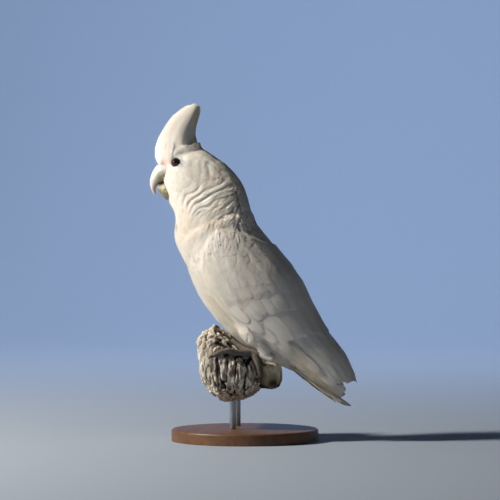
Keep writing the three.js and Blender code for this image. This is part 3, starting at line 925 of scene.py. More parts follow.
def scattered(surface, spacing, keep, seed):
    """Roots about one spacing in mm apart, at random, on the parts of a surface that keep() accepts."""
    spacing = spacing * MM
    random = np.random.default_rng(seed)
    points = surface.points
    area = len(points) * (GROUND_VOXEL ** 2)
    tries = int(TRIES_PER_PLACE * area / spacing ** 2)
    near = points[random.integers(0, len(points), tries)]
    near = near + random.uniform(-1, 1, near.shape) * GROUND_VOXEL * 0.6
    near = near[keep(near)]
    places, normals = surface.nearest(near)
    cells = {}
    kept = []
    for index, place in enumerate(places.tolist()):
        cell = tuple(int(v // spacing) for v in place)
        if not is_crowded(cells, cell, place, spacing):
            cells.setdefault(cell, []).append(place)
            kept.append(index)
    return places[kept], normals[kept]

# %% [markdown]
# ## Skin
# One skin lies inside all the flesh solids, deeper where the plumage is thicker, so that no seam
# shows between them. It is bare only round the eyes. There the mesh is made finer, for the
# wrinkled eye ring and for the rim of the lids that meets the eyeball.

# %% Depth of the coat
FACE_COAT = 0.7
NECK_COAT = 3.0
BODY_COAT = 4.0
CREST_COAT = 3.2


def eye_gap(points):
    """Distance in side view, in mm, from the nearer eye's centre."""
    flat = side_view(points)
    return np.hypot(flat[:, 0] - eye_middle.x / MM, (flat[:, 1] - eye_middle.z / MM) * 0.96)


def coat_depth(points):
    """How thick the plumage is at each point, in mm."""
    station, _ = station_and_clock(points)
    depth = np.interp(station, (20, 62, 95, 150, 320), (FACE_COAT, 1.6, NECK_COAT, BODY_COAT, BODY_COAT))
    crest_share = smooth_step(points[:, 2] / MM, 358, 372)
    return depth + (CREST_COAT - depth) * crest_share

# %% Shape of the crest
# The widest line and the rear line are pairs of height and x in mm.
CREST_HOLLOW = 2.2
CREST_WIDEST = ((356, -76), (370, -80), (390, -77.5), (416, -60))
CREST_REAR = ((356, -46), (366, -52), (385, -59.5), (410, -53))
CREST_PINCH = 0.84
CREST_PEAK = 4.0


def crest_hollow(points, normals):
    """The crest is open behind, like a cupped hand: how deep its rear is pressed in, in mm."""
    rear = smooth_step(normals[:, 0], 0.1, 0.75)
    middle = np.exp(-(points[:, 1] / (5.5 * MM)) ** 2)
    height = points[:, 2] / MM
    return CREST_HOLLOW * rear * middle * smooth_step(height, 368, 384) * (1 - smooth_step(height, 402, 414))


def pinched(points):
    """Draws the crest up to a peak, and narrows it behind its widest line, so that its rear is shaded."""
    flat = side_view(points)
    x, y, height = (points / MM).T
    widest, rear = np.array(CREST_WIDEST), np.array(CREST_REAR)
    start = np.interp(height, widest[:, 0], widest[:, 1])
    behind = smooth_step((x - start) / (np.interp(height, rear[:, 0], rear[:, 1]) - start), 0, 1)
    behind = behind * smooth_step(height, 358, 374)
    rise = CREST_PEAK * (bump_at(flat, (-61, 417), (10, 10)) - 0.3 * bump_at(flat, (-82, 408), (8, 8)))
    return np.stack([x, y * (1 - CREST_PINCH * behind), height + rise], axis=1) * MM

# %% Rings round the eye
EYE_RING = 9.6
LID_RADIUS = 4.7
LID_HEIGHT = 1.35
APERTURE_DEPTH = 5.0
WRINKLE_PITCH = 1.7
WRINKLE_HEIGHT = 0.13
REAR_FOLD_HEIGHT = 0.5


def eye_relief(points):
    """Lid rim and wrinkles round the eyes, in mm."""
    gap = eye_gap(points)
    beside = smooth_step(np.abs(points[:, 1]) / MM, 10, 14)
    angle = np.arctan2(points[:, 2] - eye_middle.z, points[:, 0] - eye_middle.x)
    ring = 1 - smooth_step(gap, EYE_RING - 2.5, EYE_RING + 1.5)
    lid = LID_HEIGHT * np.exp(-((gap - LID_RADIUS - 0.75) / 0.8) ** 2)
    aperture = -APERTURE_DEPTH * (1 - smooth_step(gap, LID_RADIUS - 1.2, LID_RADIUS - 0.1))
    wobble = gap + 0.35 * np.sin(angle * 3 + 0.8)
    wrinkles = WRINKLE_HEIGHT * np.sin(2 * np.pi * wobble / WRINKLE_PITCH) * smooth_step(gap, 5.6, 7) * ring
    behind = smooth_step(np.cos(angle), 0.5, 0.9) * smooth_step(gap, 6, 8) * ring
    rear_folds = REAR_FOLD_HEIGHT * np.sin(angle * 9) * behind
    return beside * (lid + aperture + wrinkles + rear_folds)

# %% Skin mesh
# Each reach round the eye, in mm, is divided once more than the one before it.
SKIN_VOXEL = 2.0 * MM
FINE_REACHES = (17, 13, 10)

skin = melted(FLESH + ("crest",), 0.3 * MM, SKIN_VOXEL, 7, "skin")
form = bmesh.new()
form.from_mesh(skin.data)
for reach in FINE_REACHES:
    middles = np.array([(e.verts[0].co + e.verts[1].co) / 2 for e in form.edges])
    fine = (eye_gap(middles) < reach) & (np.abs(middles[:, 1]) > 9 * MM)
    edges = [e for e, wanted in zip(form.edges, fine) if wanted]
    bmesh.ops.subdivide_edges(form, edges=edges, cuts=1, use_grid_fill=True)
bmesh.ops.triangulate(form, faces=[f for f in form.faces if len(f.verts) > 4])
form.to_mesh(skin.data)
form.free()
skin_points, skin_normals = points_of(skin.data), normals_of(skin.data)
depth = coat_depth(skin_points)
bare = 1 - smooth_step(eye_gap(skin_points), EYE_RING - 1, EYE_RING + 3)
bare *= smooth_step(np.abs(skin_points[:, 1]) / MM, 8, 12)
shift = -depth * (1 - 0.75 * bare) + relief(skin_points, skin_normals) * (1 - bare) + eye_relief(skin_points)
shift = shift - crest_hollow(skin_points, skin_normals)
set_points(skin.data, pinched(skin_points + skin_normals * shift[:, None] * MM))
print("skin:", len(skin.data.polygons), "faces")
print("coat depth, mm:", depth.min().round(1), "to", depth.max().round(1))

# %% Skin colours
EYE_SKIN = pigment("#e9e9e6")
EYE_GREY_AND_SHADE = pigment("#8b9196")
LID_EDGE = pigment("#efe9e2")


def skin_colours(points):
    """Plumage colours, with the bluish bare ring and the pale lid round each eye; the ring's wrinkle grooves
    are darkened as painted shade, and behind the eye its blue-grey is partly painted shade.
    """
    colours = markings(points)
    gap = eye_gap(points)
    beside = smooth_step(np.abs(points[:, 1]) / MM, 9, 12)
    ring = beside * (1 - smooth_step(gap, EYE_RING - 1.0, EYE_RING + 1.0))
    colours = blend(colours, EYE_SKIN, ring)
    # Painted shade in the wrinkle grooves, and behind the eye a grey that is partly the bare skin's own
    # blue-grey and partly painted shade of the hollow there.
    grooves = 0.5 + 0.5 * np.sin(2 * np.pi * gap / WRINKLE_PITCH + math.pi)
    colours = blend(colours, EYE_GREY_AND_SHADE, 0.22 * grooves * ring * smooth_step(gap, 5.8, 7))
    behind = smooth_step(points[:, 0], eye_middle.x + 4 * MM, eye_middle.x + 9 * MM)
    colours = blend(colours, EYE_GREY_AND_SHADE, 0.55 * behind * ring)
    return blend(colours, LID_EDGE, beside * np.exp(-((gap - LID_RADIUS - 0.6) / 0.5) ** 2))

# %% Skin finish
# Bare skin is dry and a little see-through: soft edges, no shine, and fine pores.
skin_material, tree, shader = new_material("skin_dry_bare", 0.62, Subsurface_Weight=0.12,
                                           Subsurface_Scale=2 * MM)
take_tint(tree, shader)
pores = noise_share(tree, object_coordinates(tree), 1.2, 2.0)
roughen(tree, shader, pores, 0.25, 0.15)
print("nodes in the bare skin:", len(tree.nodes))
skin.data.materials.append(skin_material)
paint(skin, skin_colours(points_of(skin.data)))

# %% Skin map and place in the model
map_points(skin.data, "OFBake", unwrapped(points_of(skin.data)))
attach(skin, BODY)
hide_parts(*FLESH)
print("skin maps:", [layer.name for layer in skin.data.uv_layers])

# %% [markdown]
# ## Plumage finish
# A feather has no gloss. It scatters light from many fine barbs, so its edge glows softly. The vane
# map holds mm across and mm along each feather. The barbs slant from the shaft as fine lines of
# bump, and the shaft itself is a faint ridge.

# %% Plumage material
BARB_PITCH = 0.55
BARB_SLANT = -1.1
SHAFT_WIDTH = 0.45


def plumage_material(name, barb_depth, sheen, shaft):
    """A feather's finish: the depth of its barbs and the height of its shaft are in mm."""
    material, tree, shader = new_material(
        name, 0.78, Subsurface_Weight=0.25, Subsurface_Scale=2 * MM, Subsurface_Radius=(1.0, 0.9, 0.8),
        Sheen_Weight=sheen, Sheen_Roughness=0.45, Specular_IOR_Level=0.25)
    take_tint(tree, shader)
    vane = add_node(tree, "ShaderNodeUVMap", {"uv_map": "vane"})
    parts = add_node(tree, "ShaderNodeSeparateXYZ", Vector=vane.outputs["UV"])
    across = add_node(tree, "ShaderNodeMath", {"operation": "ABSOLUTE"}, i0=parts.outputs["X"])
    slant = add_node(tree, "ShaderNodeMath", {"operation": "MULTIPLY"}, i0=across.outputs[0],
                     i1=BARB_SLANT)
    along = add_node(tree, "ShaderNodeMath", {"operation": "ADD"}, i0=parts.outputs["Y"], i1=slant.outputs[0])
    turns = add_node(tree, "ShaderNodeMath", {"operation": "MULTIPLY"}, i0=along.outputs[0],
                     i1=2 * math.pi / BARB_PITCH)
    barbs = add_node(tree, "ShaderNodeMath", {"operation": "SINE"}, i0=turns.outputs[0])
    ridge = add_node(tree, "ShaderNodeMapRange", {"interpolation_type": "SMOOTHSTEP"},
                     i0=across.outputs[0], i1=0.0, i2=SHAFT_WIDTH, i3=shaft, i4=0.0)
    height = add_node(tree, "ShaderNodeMath", {"operation": "MULTIPLY_ADD"}, i0=barbs.outputs[0],
                      i1=barb_depth, i2=ridge.outputs[0])
    roughen(tree, shader, height.outputs[0], 1.0, 1)
    return material


# Down is soft and glows at its edge; vaned feathers are firmer, with a fine shaft down the middle.
down = plumage_material("plumage_soft_down", 0.012, 0.35, 0.0)
vaned = plumage_material("plumage_vaned_matt", 0.018, 0.25, 0.06)
print("nodes in a plumage finish:", len(down.node_tree.nodes))

# %% [markdown]
# ## Coat of head, neck and body
# Small contour feathers start on the skin and rise to the ground. They are smallest on the face and
# grow towards the belly. The lie of each comes from the field above, with a little splay, so that
# no two lie quite alike. Soft feathers have ragged tips, and the neck has long narrow ones.

# %% Which places belong to which piece
EYE_BARE = 8.2
LOWER_EDGE = 117
WING_START = Vector((-35, 0, 250)) * MM
WING_END = Vector((131.8, 0, 58.4)) * MM
WING_WAY = (WING_END - WING_START).normalized()
WING_BACK = Vector((-WING_WAY.z, 0, WING_WAY.x))


def tree_of(*names):
    """A search tree of the named CAD nodes."""
    return BVHTree.FromBMesh(merged_copy(names, 0))


wing_tree = tree_of("wing_left", "wing_right", "wing_tip_left", "wing_tip_right")
flesh_tree = tree_of("head", "neck", "trunk", "thigh_left", "thigh_right", "tail")
bill_tree = tree_of("bill_upper", "bill_lower")
thigh_tree = tree_of("thigh_left", "thigh_right")
crest_tree = tree_of("crest")


def gap_to(tree, points):
    """Each point's distance to a search tree, in mm."""
    return np.array([tree.find_nearest(p)[3] for p in points.tolist()]) / MM


def wing_clock(points):
    """Angle in degrees round the wing's long line, from the back, 0, to the belly, 180."""
    away = points - np.array(WING_START)
    return np.degrees(np.arctan2(np.abs(points[:, 1]), away @ np.array(WING_BACK)))


def mask(count, index):
    """A list of count flags that are true at an index."""
    kept = np.zeros(count, bool)
    kept[index] = True
    return kept


print("wing line, mm:", round((WING_END - WING_START).length / MM))

# %% Stretches of the coat


def coat_zone(first, last, thigh=False, belly=None):
    """A test of points for one stretch of the spine."""

    def keep(points):
        station, clock = station_and_clock(points)
        wanted = (station >= first) & (station < last)
        if belly is not None:
            wanted &= (clock > np.pi / 2) if belly else (clock <= np.pi / 2)
        index = np.flatnonzero(wanted)
        spots = points[index]
        good = (gap_to(wing_tree, spots) > gap_to(flesh_tree, spots)) | (wing_clock(spots) > LOWER_EDGE)
        good &= gap_to(crest_tree, spots) > 0.5
        good &= (gap_to(thigh_tree, spots) < 1.6) == thigh
        good &= gap_to(bill_tree, spots) > 0.8
        good &= (eye_gap(spots) > EYE_BARE) | (np.abs(spots[:, 1]) < 9 * MM)
        return mask(len(points), index[good])

    return keep


ROOT_SHARE = 0.85


def lay_coat(name, seed, keep, spacing, length, width, shape, splay, **sizes):
    """One piece of coat, whose feathers grow in size from its front to its rear. Sizes are in mm."""
    feathers = Feathers(name, seed)
    roots = scattered(on_ground, spacing, keep, seed)
    station, _ = station_and_clock(roots[0])
    share = (station - station.min()) / (station.max() - station.min())
    lengths = (length[0] + (length[1] - length[0]) * share) * MM
    widths = (width[0] + (width[1] - width[0]) * share) * MM
    depth = coat_depth(roots[0]) * ROOT_SHARE
    feathers.lay_along(on_ground, lie_of_body, roots, lengths, widths, shape, (0.18, 0.15), splay,
                       depth=depth, **sizes)
    piece = feathers.build(down, markings)

# %% Coat pieces
lay_coat("coat_head", 11, coat_zone(-1, 62), 1.52, (8.5, 14), (2.1, 3.0), "tuft", 9,
         lift=0.35, arch=0.06, thick=0.1, rag=0.02, roll=0.06)
lay_coat("coat_neck", 12, coat_zone(62, 128), 2.6, (18, 25), (4.4, 6.0), "lance", 8,
         lift=0.6, arch=0.12, thick=0.14, rag=0.02, roll=0.1)
lay_coat("coat_breast", 13, coat_zone(128, 200, belly=True), 3.4, (28, 42), (7.5, 9.5), "soft", 6,
         across=7, lift=0.35, arch=0.08, thick=0.1, rag=0.014, roll=0.03)
lay_coat("coat_back", 14, coat_zone(128, 330, belly=False), 3.8, (22, 32), (11, 13), "round", 5,
         across=7, lift=0.3, arch=0.12, thick=0.12, rag=0.008, roll=0.02)
lay_coat("coat_belly", 15, coat_zone(200, 360, belly=True), 3.7, (28, 34), (8, 9.5), "soft", 8,
         across=7, lift=0.4, arch=0.1, thick=0.12, rag=0.018, roll=0.04)
lay_coat("coat_thighs", 16, coat_zone(-1, 400, thigh=True), 2.6, (12, 17), (5.0, 6.5), "soft", 10,
         across=7, lift=0.5, arch=0.15, thick=0.18, rag=0.018, roll=0.06)

# %% [markdown]
# ## Folded wings
# A folded wing is rows of feathers that fan from the shoulder and close like cards: scapulars and
# lesser coverts above, then median and greater coverts, the secondaries, and the long primaries
# that end in the wing tip. Each row is laid by rule: how far down the wing its tips reach, and the
# clock angle round the wing's own line, from the back down to the wing's lower edge.

# %% Wing line
TIP_START = 200
TIP_SPAN = 50
TIP_CLOSING = 0.45


def wing_places(reach, clock, side):
    """Ground places at a reach in mm down the wing and a clock angle in degrees from the back."""
    held = np.minimum(reach, TIP_START)
    starts = np.array(WING_START) + held[:, None] * MM * np.array(WING_WAY)
    turn = np.radians(clock)
    ways = np.cos(turn)[:, None] * np.array(WING_BACK)
    ways = ways + np.sin(turn)[:, None] * np.array((0, side, 0))
    places, normals = on_ground.cast(starts, ways)
    beyond = (reach - held)[:, None]
    closing = TIP_CLOSING * (beyond / TIP_SPAN) ** 2
    places = starts + (places - starts) * (1 - closing) + beyond * MM * np.array(WING_WAY)
    return places, normals

# %% Paths of one row
PATH_SMOOTHING = 3


def row_paths(tips, clocks, lengths, side, shape, turn_in=0.0):
    """Centre lines of one row of feathers: tips in mm down the wing, and turn_in in degrees."""
    stations = np.array([s for s, _ in VANES[shape]])
    centres, uprights = [], []
    for s in stations:
        reach = tips - lengths * (1 - s)
        places, normals = wing_places(reach, clocks + turn_in * (1 - s), side)
        centres.append(places)
        uprights.append(normals)
    centres, uprights = np.stack(centres, 1), np.stack(uprights, 1)
    for _ in range(PATH_SMOOTHING):
        for values in (centres, uprights):
            values[:, 1:-1] = (values[:, :-2] + 2 * values[:, 1:-1] + values[:, 2:]) / 4
    headings = unit(np.gradient(centres, axis=1))
    return centres, unit(uprights), headings

# %% Rows of the wing
# Both wings take their rows from this table.
# Each row: its first and last tips down the wing, the clock angles, the lengths and the width, and
# slant, how much farther the tips reach for each degree of clock angle.
WING_ROWS = {
    "primaries": dict(tips=(239, 239), rows=1, clocks=(4, 112), in_row=12, length=(98, 98), width=15,
                      slant=-0.16, shape="blade", depth=3.0, lift=0.3, turn_in=8),
    "lower": dict(tips=(104, 208), rows=6, clocks=(110, 127), in_row=1, length=(52, 88), width=13,
                  slant=0.0, shape="blade", depth=3.4, lift=1.9, turn_in=7),
    "secondaries": dict(tips=(165, 165), rows=1, clocks=(6, 120), in_row=9, length=(72, 72), width=20,
                        slant=-0.22, shape="blade", depth=3.6, lift=1.0, turn_in=6),
    "greater": dict(tips=(127, 127), rows=1, clocks=(4, 122), in_row=11, length=(48, 48), width=18,
                    slant=-0.36, shape="blade", depth=3.4, lift=0.7, turn_in=5),
    "median": dict(tips=(84, 102), rows=2, clocks=(4, 124), in_row=12, length=(30, 33), width=15,
                   slant=-0.5, shape="round", depth=3.2, lift=0.35, turn_in=5),
}


print("rows of the wing:", ", ".join(WING_ROWS))

# %% Laying a row
# How far the feathers of a row stray from the rule: in degrees, in mm, and as shares.
CLOCK_STRAY = 1.2
TIP_STRAY = 1.6
EDGE_STRAY = 0.3
LENGTH_STRAY = 0.05
WIDTH_STRAY = 0.06


def lay_row(feathers, side, tips, rows, clocks, in_row, length, width, slant, shape, depth, lift, turn_in):
    """Lays all the feathers of one kind on one wing, row by row from the shoulder to the tip."""
    for row in range(rows):
        share = row / max(rows - 1, 1)
        if in_row == 1:
            turn = np.array([clocks[0] + (clocks[1] - clocks[0]) * (1 - share)])
        else:
            step = (clocks[1] - clocks[0]) / in_row
            turn = clocks[0] + step * (np.arange(in_row) + (0.5 if row % 2 else 0.0))
        count = len(turn)
        random = feathers.random
        turn = turn + random.normal(0, CLOCK_STRAY, count)
        middle = (clocks[0] + clocks[1]) / 2
        reach = tips[0] + (tips[1] - tips[0]) * share + slant * (turn - middle)
        reach = reach + random.normal(0, TIP_STRAY if in_row > 1 else EDGE_STRAY, count)
        long = (length[0] + (length[1] - length[0]) * share) * jitter(random, count, LENGTH_STRAY)
        paths = row_paths(reach, turn, long, side, shape, turn_in)
        wide = np.full(count, width * MM) * jitter(random, count, WIDTH_STRAY)
        feathers.lay(on_ground, paths, wide, long * MM, shape, across=7, depth=depth, lift=lift,
                     arch=0.25, thick=0.25, rag=0.002, roll=0.015, edge_drop=0.2, tone=0.015,
                     conform=0.85, most_pull=1.5)

# %% Lesser coverts
LESSER_END = 74


def on_lesser_coverts(side):
    """Tests points for the small feathers between the shoulder and the median coverts."""

    def keep(points):
        reach = (points - np.array(WING_START)) @ np.array(WING_WAY) / MM
        index = np.flatnonzero((points[:, 1] * side > 0) & (reach < LESSER_END))
        near = gap_to(wing_tree, points[index]) <= gap_to(flesh_tree, points[index])
        return mask(len(points), index[near])

    return keep


def lay_lesser(feathers, side):
    """Lays the lesser coverts, which grow in size down the wing."""
    roots = scattered(on_ground, 4.0, on_lesser_coverts(side), 61 + side)
    reach = (roots[0] - np.array(WING_START)) @ np.array(WING_WAY) / MM
    lengths = np.interp(reach, (-20, LESSER_END), (16, 25)) * MM
    widths = np.interp(reach, (-20, LESSER_END), (8, 12.5)) * MM
    feathers.lay_along(on_ground, lie_of_body, roots, lengths, widths, "round", (0.12, 0.12), 5, across=7,
                       depth=3.0, lift=0.3, arch=0.08, thick=0.1, rag=0.01, roll=0.015, tone=0.012)

# %% Both wings
for side_name, side in SIDES.items():
    coverts = Feathers(f"coverts_{side_name}", 21 + side)
    for row_name in ("greater", "median"):
        lay_row(coverts, side, **WING_ROWS[row_name])
    lay_lesser(coverts, side)
    flight = Feathers(f"flight_{side_name}", 31 + side)
    for row_name in ("primaries", "lower", "secondaries"):
        lay_row(flight, side, **WING_ROWS[row_name])
    coverts.build(vaned, markings)
    quills = flight.build(vaned, markings)
    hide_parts(f"wing_tip_{side_name}")

# %% [markdown]
# ## Tail
# The twelve tail feathers lie in one closed fan, the middle pair on top, like a hand of cards. Soft
# coverts fill the underside at its root.

# %% Tail fan
# Lengths and steps are in mm: between feathers at the root and at the fan, and down to the next card.
TAIL_FEATHERS = 12
TAIL_ROOT = np.array((52, 0, 104)) * MM
TAIL_WAY = unit(np.array((0.79, 0.0, -0.61)))
TAIL_UP = np.array((-TAIL_WAY[2], 0.0, TAIL_WAY[0]))
TAIL_LENGTH = 101
TAIL_WIDTH = 13
TAIL_CURVE = 0.3
TAIL_RISE = 4.5
TAIL_SUNK = 1.5
ROOT_STEP = 1.7
FAN_STEP = 1.2
CARD_STEP = 0.6
CARD_TILT = 0.05

order = np.arange(TAIL_FEATHERS) - (TAIL_FEATHERS - 1) / 2
lengths = (TAIL_LENGTH - TAIL_CURVE * order ** 2) * MM
centres = []
for s, _ in VANES["blade"]:
    middle = TAIL_ROOT + (lengths * s)[:, None] * TAIL_WAY
    middle = middle + ((TAIL_RISE * s - TAIL_SUNK - CARD_STEP * np.abs(order)) * MM)[:, None] * TAIL_UP
    middle[:, 1] = order * (ROOT_STEP + FAN_STEP * s) * MM
    centres.append(middle)
centres = np.stack(centres, 1)
headings = unit(np.gradient(centres, axis=1))
uprights = np.tile(TAIL_UP, (*centres.shape[:2], 1))
uprights[:, :, 1] = (order * CARD_TILT)[:, None]
uprights = unit(uprights - headings * (uprights * headings).sum(axis=-1, keepdims=True))
print("tail feathers, mm long:", (lengths / MM).round().tolist())

# %% Tail feathers
on_tail = surface_of(melted(("tail",), 0.2 * MM, 1.2 * MM, 6, "tail_ground"))
tail = Feathers("tail_feathers", 41)
tail_paths = (centres, uprights, headings)
tail.lay(on_tail, tail_paths, np.full(TAIL_FEATHERS, TAIL_WIDTH * MM), lengths, "blade", across=7, depth=0.0,
         lift=0.0, arch=0.35, thick=0.35, rag=0.002, roll=0.0, edge_drop=0.1, conform=0.0)
tail_piece = tail.build(vaned, markings)
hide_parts("tail")

# %% Coverts under the tail
UNDER_END = 64


def under_tail(points):
    """Tests points for the lower face of the tail's root."""
    away = points - TAIL_ROOT
    return (away @ TAIL_UP < -0.5 * MM) & (away @ TAIL_WAY < UNDER_END * MM)


def tail_lie(points, normals):
    """The way that the under coverts point: along the tail."""
    return unit(TAIL_WAY - normals * (normals @ TAIL_WAY)[:, None])


COVERT_LENGTH = 25
COVERT_WIDTH = 9

under = Feathers("coat_undertail", 43)
roots = scattered(on_tail, 3.4, under_tail, 43)
under.lay_along(on_tail, tail_lie, roots, COVERT_LENGTH * MM, COVERT_WIDTH * MM, "soft", (0.15, 0.12), 5,
                across=7, depth=1.5, lift=0.5, arch=0.12, thick=0.15, rag=0.014, roll=0.03)
under.build(down, markings)

# %% [markdown]
# ## Crest
# The crest feathers stand on the forehead and curl back. The lowest are the longest, and they wrap
# round the rest. The rear of the crest is pinched and hollow, so it lies in its own shade.

# %% Crest ground and lie
crest_ground = melted(("crest",), 0.2 * MM, 1.0 * MM, 10, "crest_ground")
solid_points, solid_normals = points_of(crest_ground.data), normals_of(crest_ground.data)
dip = crest_hollow(solid_points, solid_normals)
set_points(crest_ground.data, pinched(solid_points - solid_normals * dip[:, None] * MM))
on_crest = surface_of(crest_ground)
CREST_LIE = np.array([
    (-113, 358, 0.05, 1.0), (-108, 378, 0.35, 0.94), (-96, 396, 0.62, 0.78), (-80, 410, 0.8, 0.6),
    (-62, 420, 0.95, 0.3), (-95, 365, 0.25, 0.97), (-84, 385, 0.5, 0.86), (-72, 400, 0.65, 0.76),
    (-62, 368, -0.1, 1.0), (-62, 388, 0.12, 0.99), (-57, 405, 0.5, 0.86), (-76, 366, 0.1, 1.0)])


CREST_LIE_REACH = 10
CLOSING = 0.012


def crest_lie(points, normals):
    """The way that crest feathers point; the crest closes towards its middle."""
    way = in_profile(steer(side_view(points), CREST_LIE, CREST_LIE_REACH))
    way[:, 1] = -points[:, 1] / MM * CLOSING
    return along_surface(way, normals)


def crest_markings(points):
    """The plumage's markings, with yellow behind on the crest."""
    flat = side_view(points)
    yellow = 0.75 * blotch(flat, (-58, 402), (9, 14), -20) * smooth_step(flat[:, 0], -72, -60)
    return blend(markings(points), YELLOW, yellow)

# %% Rows of the crest


def crest_rows(feathers, low, high, spacing, length, width, shape, **sizes):
    """Lays crest feathers that root between two heights in mm above the stand's floor."""

    def keep(points):
        height = points[:, 2] / MM + 0.12 * (points[:, 0] / MM + 85)
        return (height > low) & (height < high)

    roots = scattered(on_crest, spacing, keep, low)
    feathers.lay_along(on_crest, crest_lie, roots, length * MM, width * MM, shape, (0.07, 0.1), 3, **sizes)


crest = Feathers("crest_feathers", 51)
smooth_vane = dict(arch=0.1, thick=0.15, rag=0.006, roll=0.015, across=7)
crest_rows(crest, 342, 360, 4.6, 52, 9.5, "crest", depth=1.6, lift=0.2, **smooth_vane)
crest_rows(crest, 358, 376, 4.8, 44, 9.5, "crest", depth=1.5, lift=0.2, **smooth_vane)
crest_rows(crest, 374, 394, 5.2, 30, 9.0, "crest", depth=1.4, lift=0.2, **smooth_vane)
crest_rows(crest, 392, 410, 5.2, 17, 7.5, "crest", depth=1.2, lift=0.15, **smooth_vane)
crest_rows(crest, 338, 349, 2.1, 10, 3.4, "tuft", depth=0.9, lift=0.2, arch=0.1, thick=0.12,
           rag=0.02, roll=0.05)
crest_rows(crest, 345, 354, 3.4, 20, 6.0, "lance", depth=1.0, lift=0.2, arch=0.15, thick=0.16,
           rag=0.02, roll=0.03)
crest_piece = crest.build(vaned, crest_markings)
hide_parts("crest")

# %% [markdown]
# ## Crown and heels
# Small pointed feathers close the join between the crest and the head, as they do on the bird. The
# thigh feathers hang over the heel like short trousers and hide where the shank begins.

# %% Crown lie
on_crown = surface_of(melted(("head", "neck", "crest"), 0.3 * MM, 1.2 * MM, 8, "crown_ground"))
head_tree = tree_of("head")
CROWN_LIE = np.array([
    (-108, 350, 0.15, 1.0), (-98, 353, 0.45, 0.9), (-88, 357, 0.6, 0.8), (-78, 358, 0.7, 0.72),
    (-68, 361, 0.8, 0.6), (-58, 363, 0.9, 0.4), (-50, 362, 1.0, 0.0), (-44, 358, 0.9, -0.4)])
CROWN_LIE_REACH = 8


def crown_lie(points, normals):
    """The way that crown feathers point: up against the crest, and back beside it."""
    return along_surface(in_profile(steer(side_view(points), CROWN_LIE, CROWN_LIE_REACH)), normals)


def at_crest_base(points):
    """Tests points for the band where the crest grows out of the head."""
    near = (gap_to(crest_tree, points) < 6.5) & (gap_to(head_tree, points) < 4.5)
    return near & (eye_gap(points) > EYE_BARE + 1.5) & (gap_to(bill_tree, points) > 1.5)

# %% Crown feathers
CROWN_LENGTH = 11
CROWN_WIDTH = 3.7

crown = Feathers("coat_crown", 57)
roots = scattered(on_crown, 2.1, at_crest_base, 57)
crown.lay_along(on_crown, crown_lie, roots, CROWN_LENGTH * MM, CROWN_WIDTH * MM, "lance", (0.2, 0.15), 9,
                depth=1.5, lift=0.5, arch=0.1, thick=0.12, rag=0.02, roll=0.05)
crown.build(down, markings)

# %% Heel tufts
HEEL_WAY = np.array((0.68, 0.0, -0.73))
HEEL_LENGTH = 16
HEEL_WIDTH = 4.6


def heel_lie(points, normals):
    """The way that heel feathers point: down and back."""
    return along_surface(np.tile(HEEL_WAY, (len(points), 1)), normals)


def on_heel(points):
    """Tests points for the band between the thigh and the shank."""
    x, height = points[:, 0] / MM, points[:, 2] / MM
    return (x > 18) & (height > np.maximum(98, 128 - 0.9 * x)) & (height < 128)


for side_name in SIDES:
    leg_nodes = (f"thigh_{side_name}", f"leg_{side_name}")
    on_leg = surface_of(melted(leg_nodes, 1.0 * MM, 1.2 * MM, 8, "heel_ground"))
    heel = Feathers(f"coat_heel_{side_name}", 58)
    roots = scattered(on_leg, 2.2, on_heel, 58)
    heel.lay_along(on_leg, heel_lie, roots, HEEL_LENGTH * MM, HEEL_WIDTH * MM, "soft", (0.2, 0.15), 10,
                   depth=0.8, lift=0.6, arch=0.1, thick=0.12, rag=0.02, roll=0.05)
    heel.build(down, markings)

# %% [markdown]
# ## Eyes
# The eye is a wet ball: a black pupil in a dark red-brown iris, under a clear coat that holds the
# light's reflection.

# %% Eyes
EYE_LOOK = {"left": Vector((-0.22, -1.0, 0.05)), "right": Vector((-0.22, 1.0, 0.05))}
PUPIL = pigment("#040303")
IRIS = pigment("#34150d")
IRIS_EDGE = pigment("#1a0b08")

# A wet ball: low roughness under a thin clear coat, so that it holds one small, sharp reflection.
eye_material, tree, shader = new_material("eye_wet_glass", 0.12, Coat_Weight=0.35, Coat_Roughness=0.03)
take_tint(tree, shader)
print("iris, linear:", IRIS.round(3))

# %% Eyeballs
# Radii and the rise of the cornea are in mm; an edge is sharper the larger its number.
CORNEA_RADIUS = 3.6
CORNEA_RISE = 0.45
PUPIL_RADIUS = 2.5
PUPIL_SHARP = 6
IRIS_RADIUS = 4.3
IRIS_SHARP = 5


def make_eye(side_name):
    """A ball with a shallow cornea, coloured by the distance from the middle of the pupil."""
    mesh = bpy.data.meshes.new(f"eyeball_{side_name}")
    ball = bmesh.new()
    bmesh.ops.create_uvsphere(ball, u_segments=64, v_segments=40, radius=eye_radius)
    look = EYE_LOOK[side_name].normalized()
    turn = Vector((0, 0, 1)).rotation_difference(look).to_matrix()
    colours = []
    for vert in ball.verts:
        away = math.hypot(vert.co.x, vert.co.y) / MM if vert.co.z > 0 else eye_radius / MM
        vert.co.z += max(0.0, 1 - (away / CORNEA_RADIUS) ** 2) * CORNEA_RISE * MM
        share = 1 / (1 + math.exp(-(away - PUPIL_RADIUS) * PUPIL_SHARP))
        edge = 1 / (1 + math.exp(-(away - IRIS_RADIUS) * IRIS_SHARP))
        colour = PUPIL + (IRIS - PUPIL) * share
        colours.append(colour + (IRIS_EDGE - colour) * edge)
        vert.co = turn @ vert.co + eye[side_name]
    ball.to_mesh(mesh)
    ball.free()
    mesh.shade_smooth()
    mesh.materials.append(eye_material)
    eyeball = add_object(f"eyeball_{side_name}", mesh)
    paint(eyeball, np.array(colours))
    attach(eyeball, BODY)
    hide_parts(f"eye_{side_name}")


for side_name in SIDES:
    make_eye(side_name)
print("pupils look towards:", {side: [round(v, 2) for v in EYE_LOOK[side].normalized()] for side in SIDES})

# %% [markdown]
# ## Bill
# The bill is horn. It is bone white at its base, olive along its cutting edge and flushed at the
# hook, with fine growth lines. The tongue tip shows between its halves.

# %% Horn
BONE = pigment("#dddad0")
BLUISH = pigment("#c3cad0")
OLIVE = pigment("#8f8462")
FLUSH = pigment("#dfb79a")
MOUTH_SHADE = pigment("#2a2320")

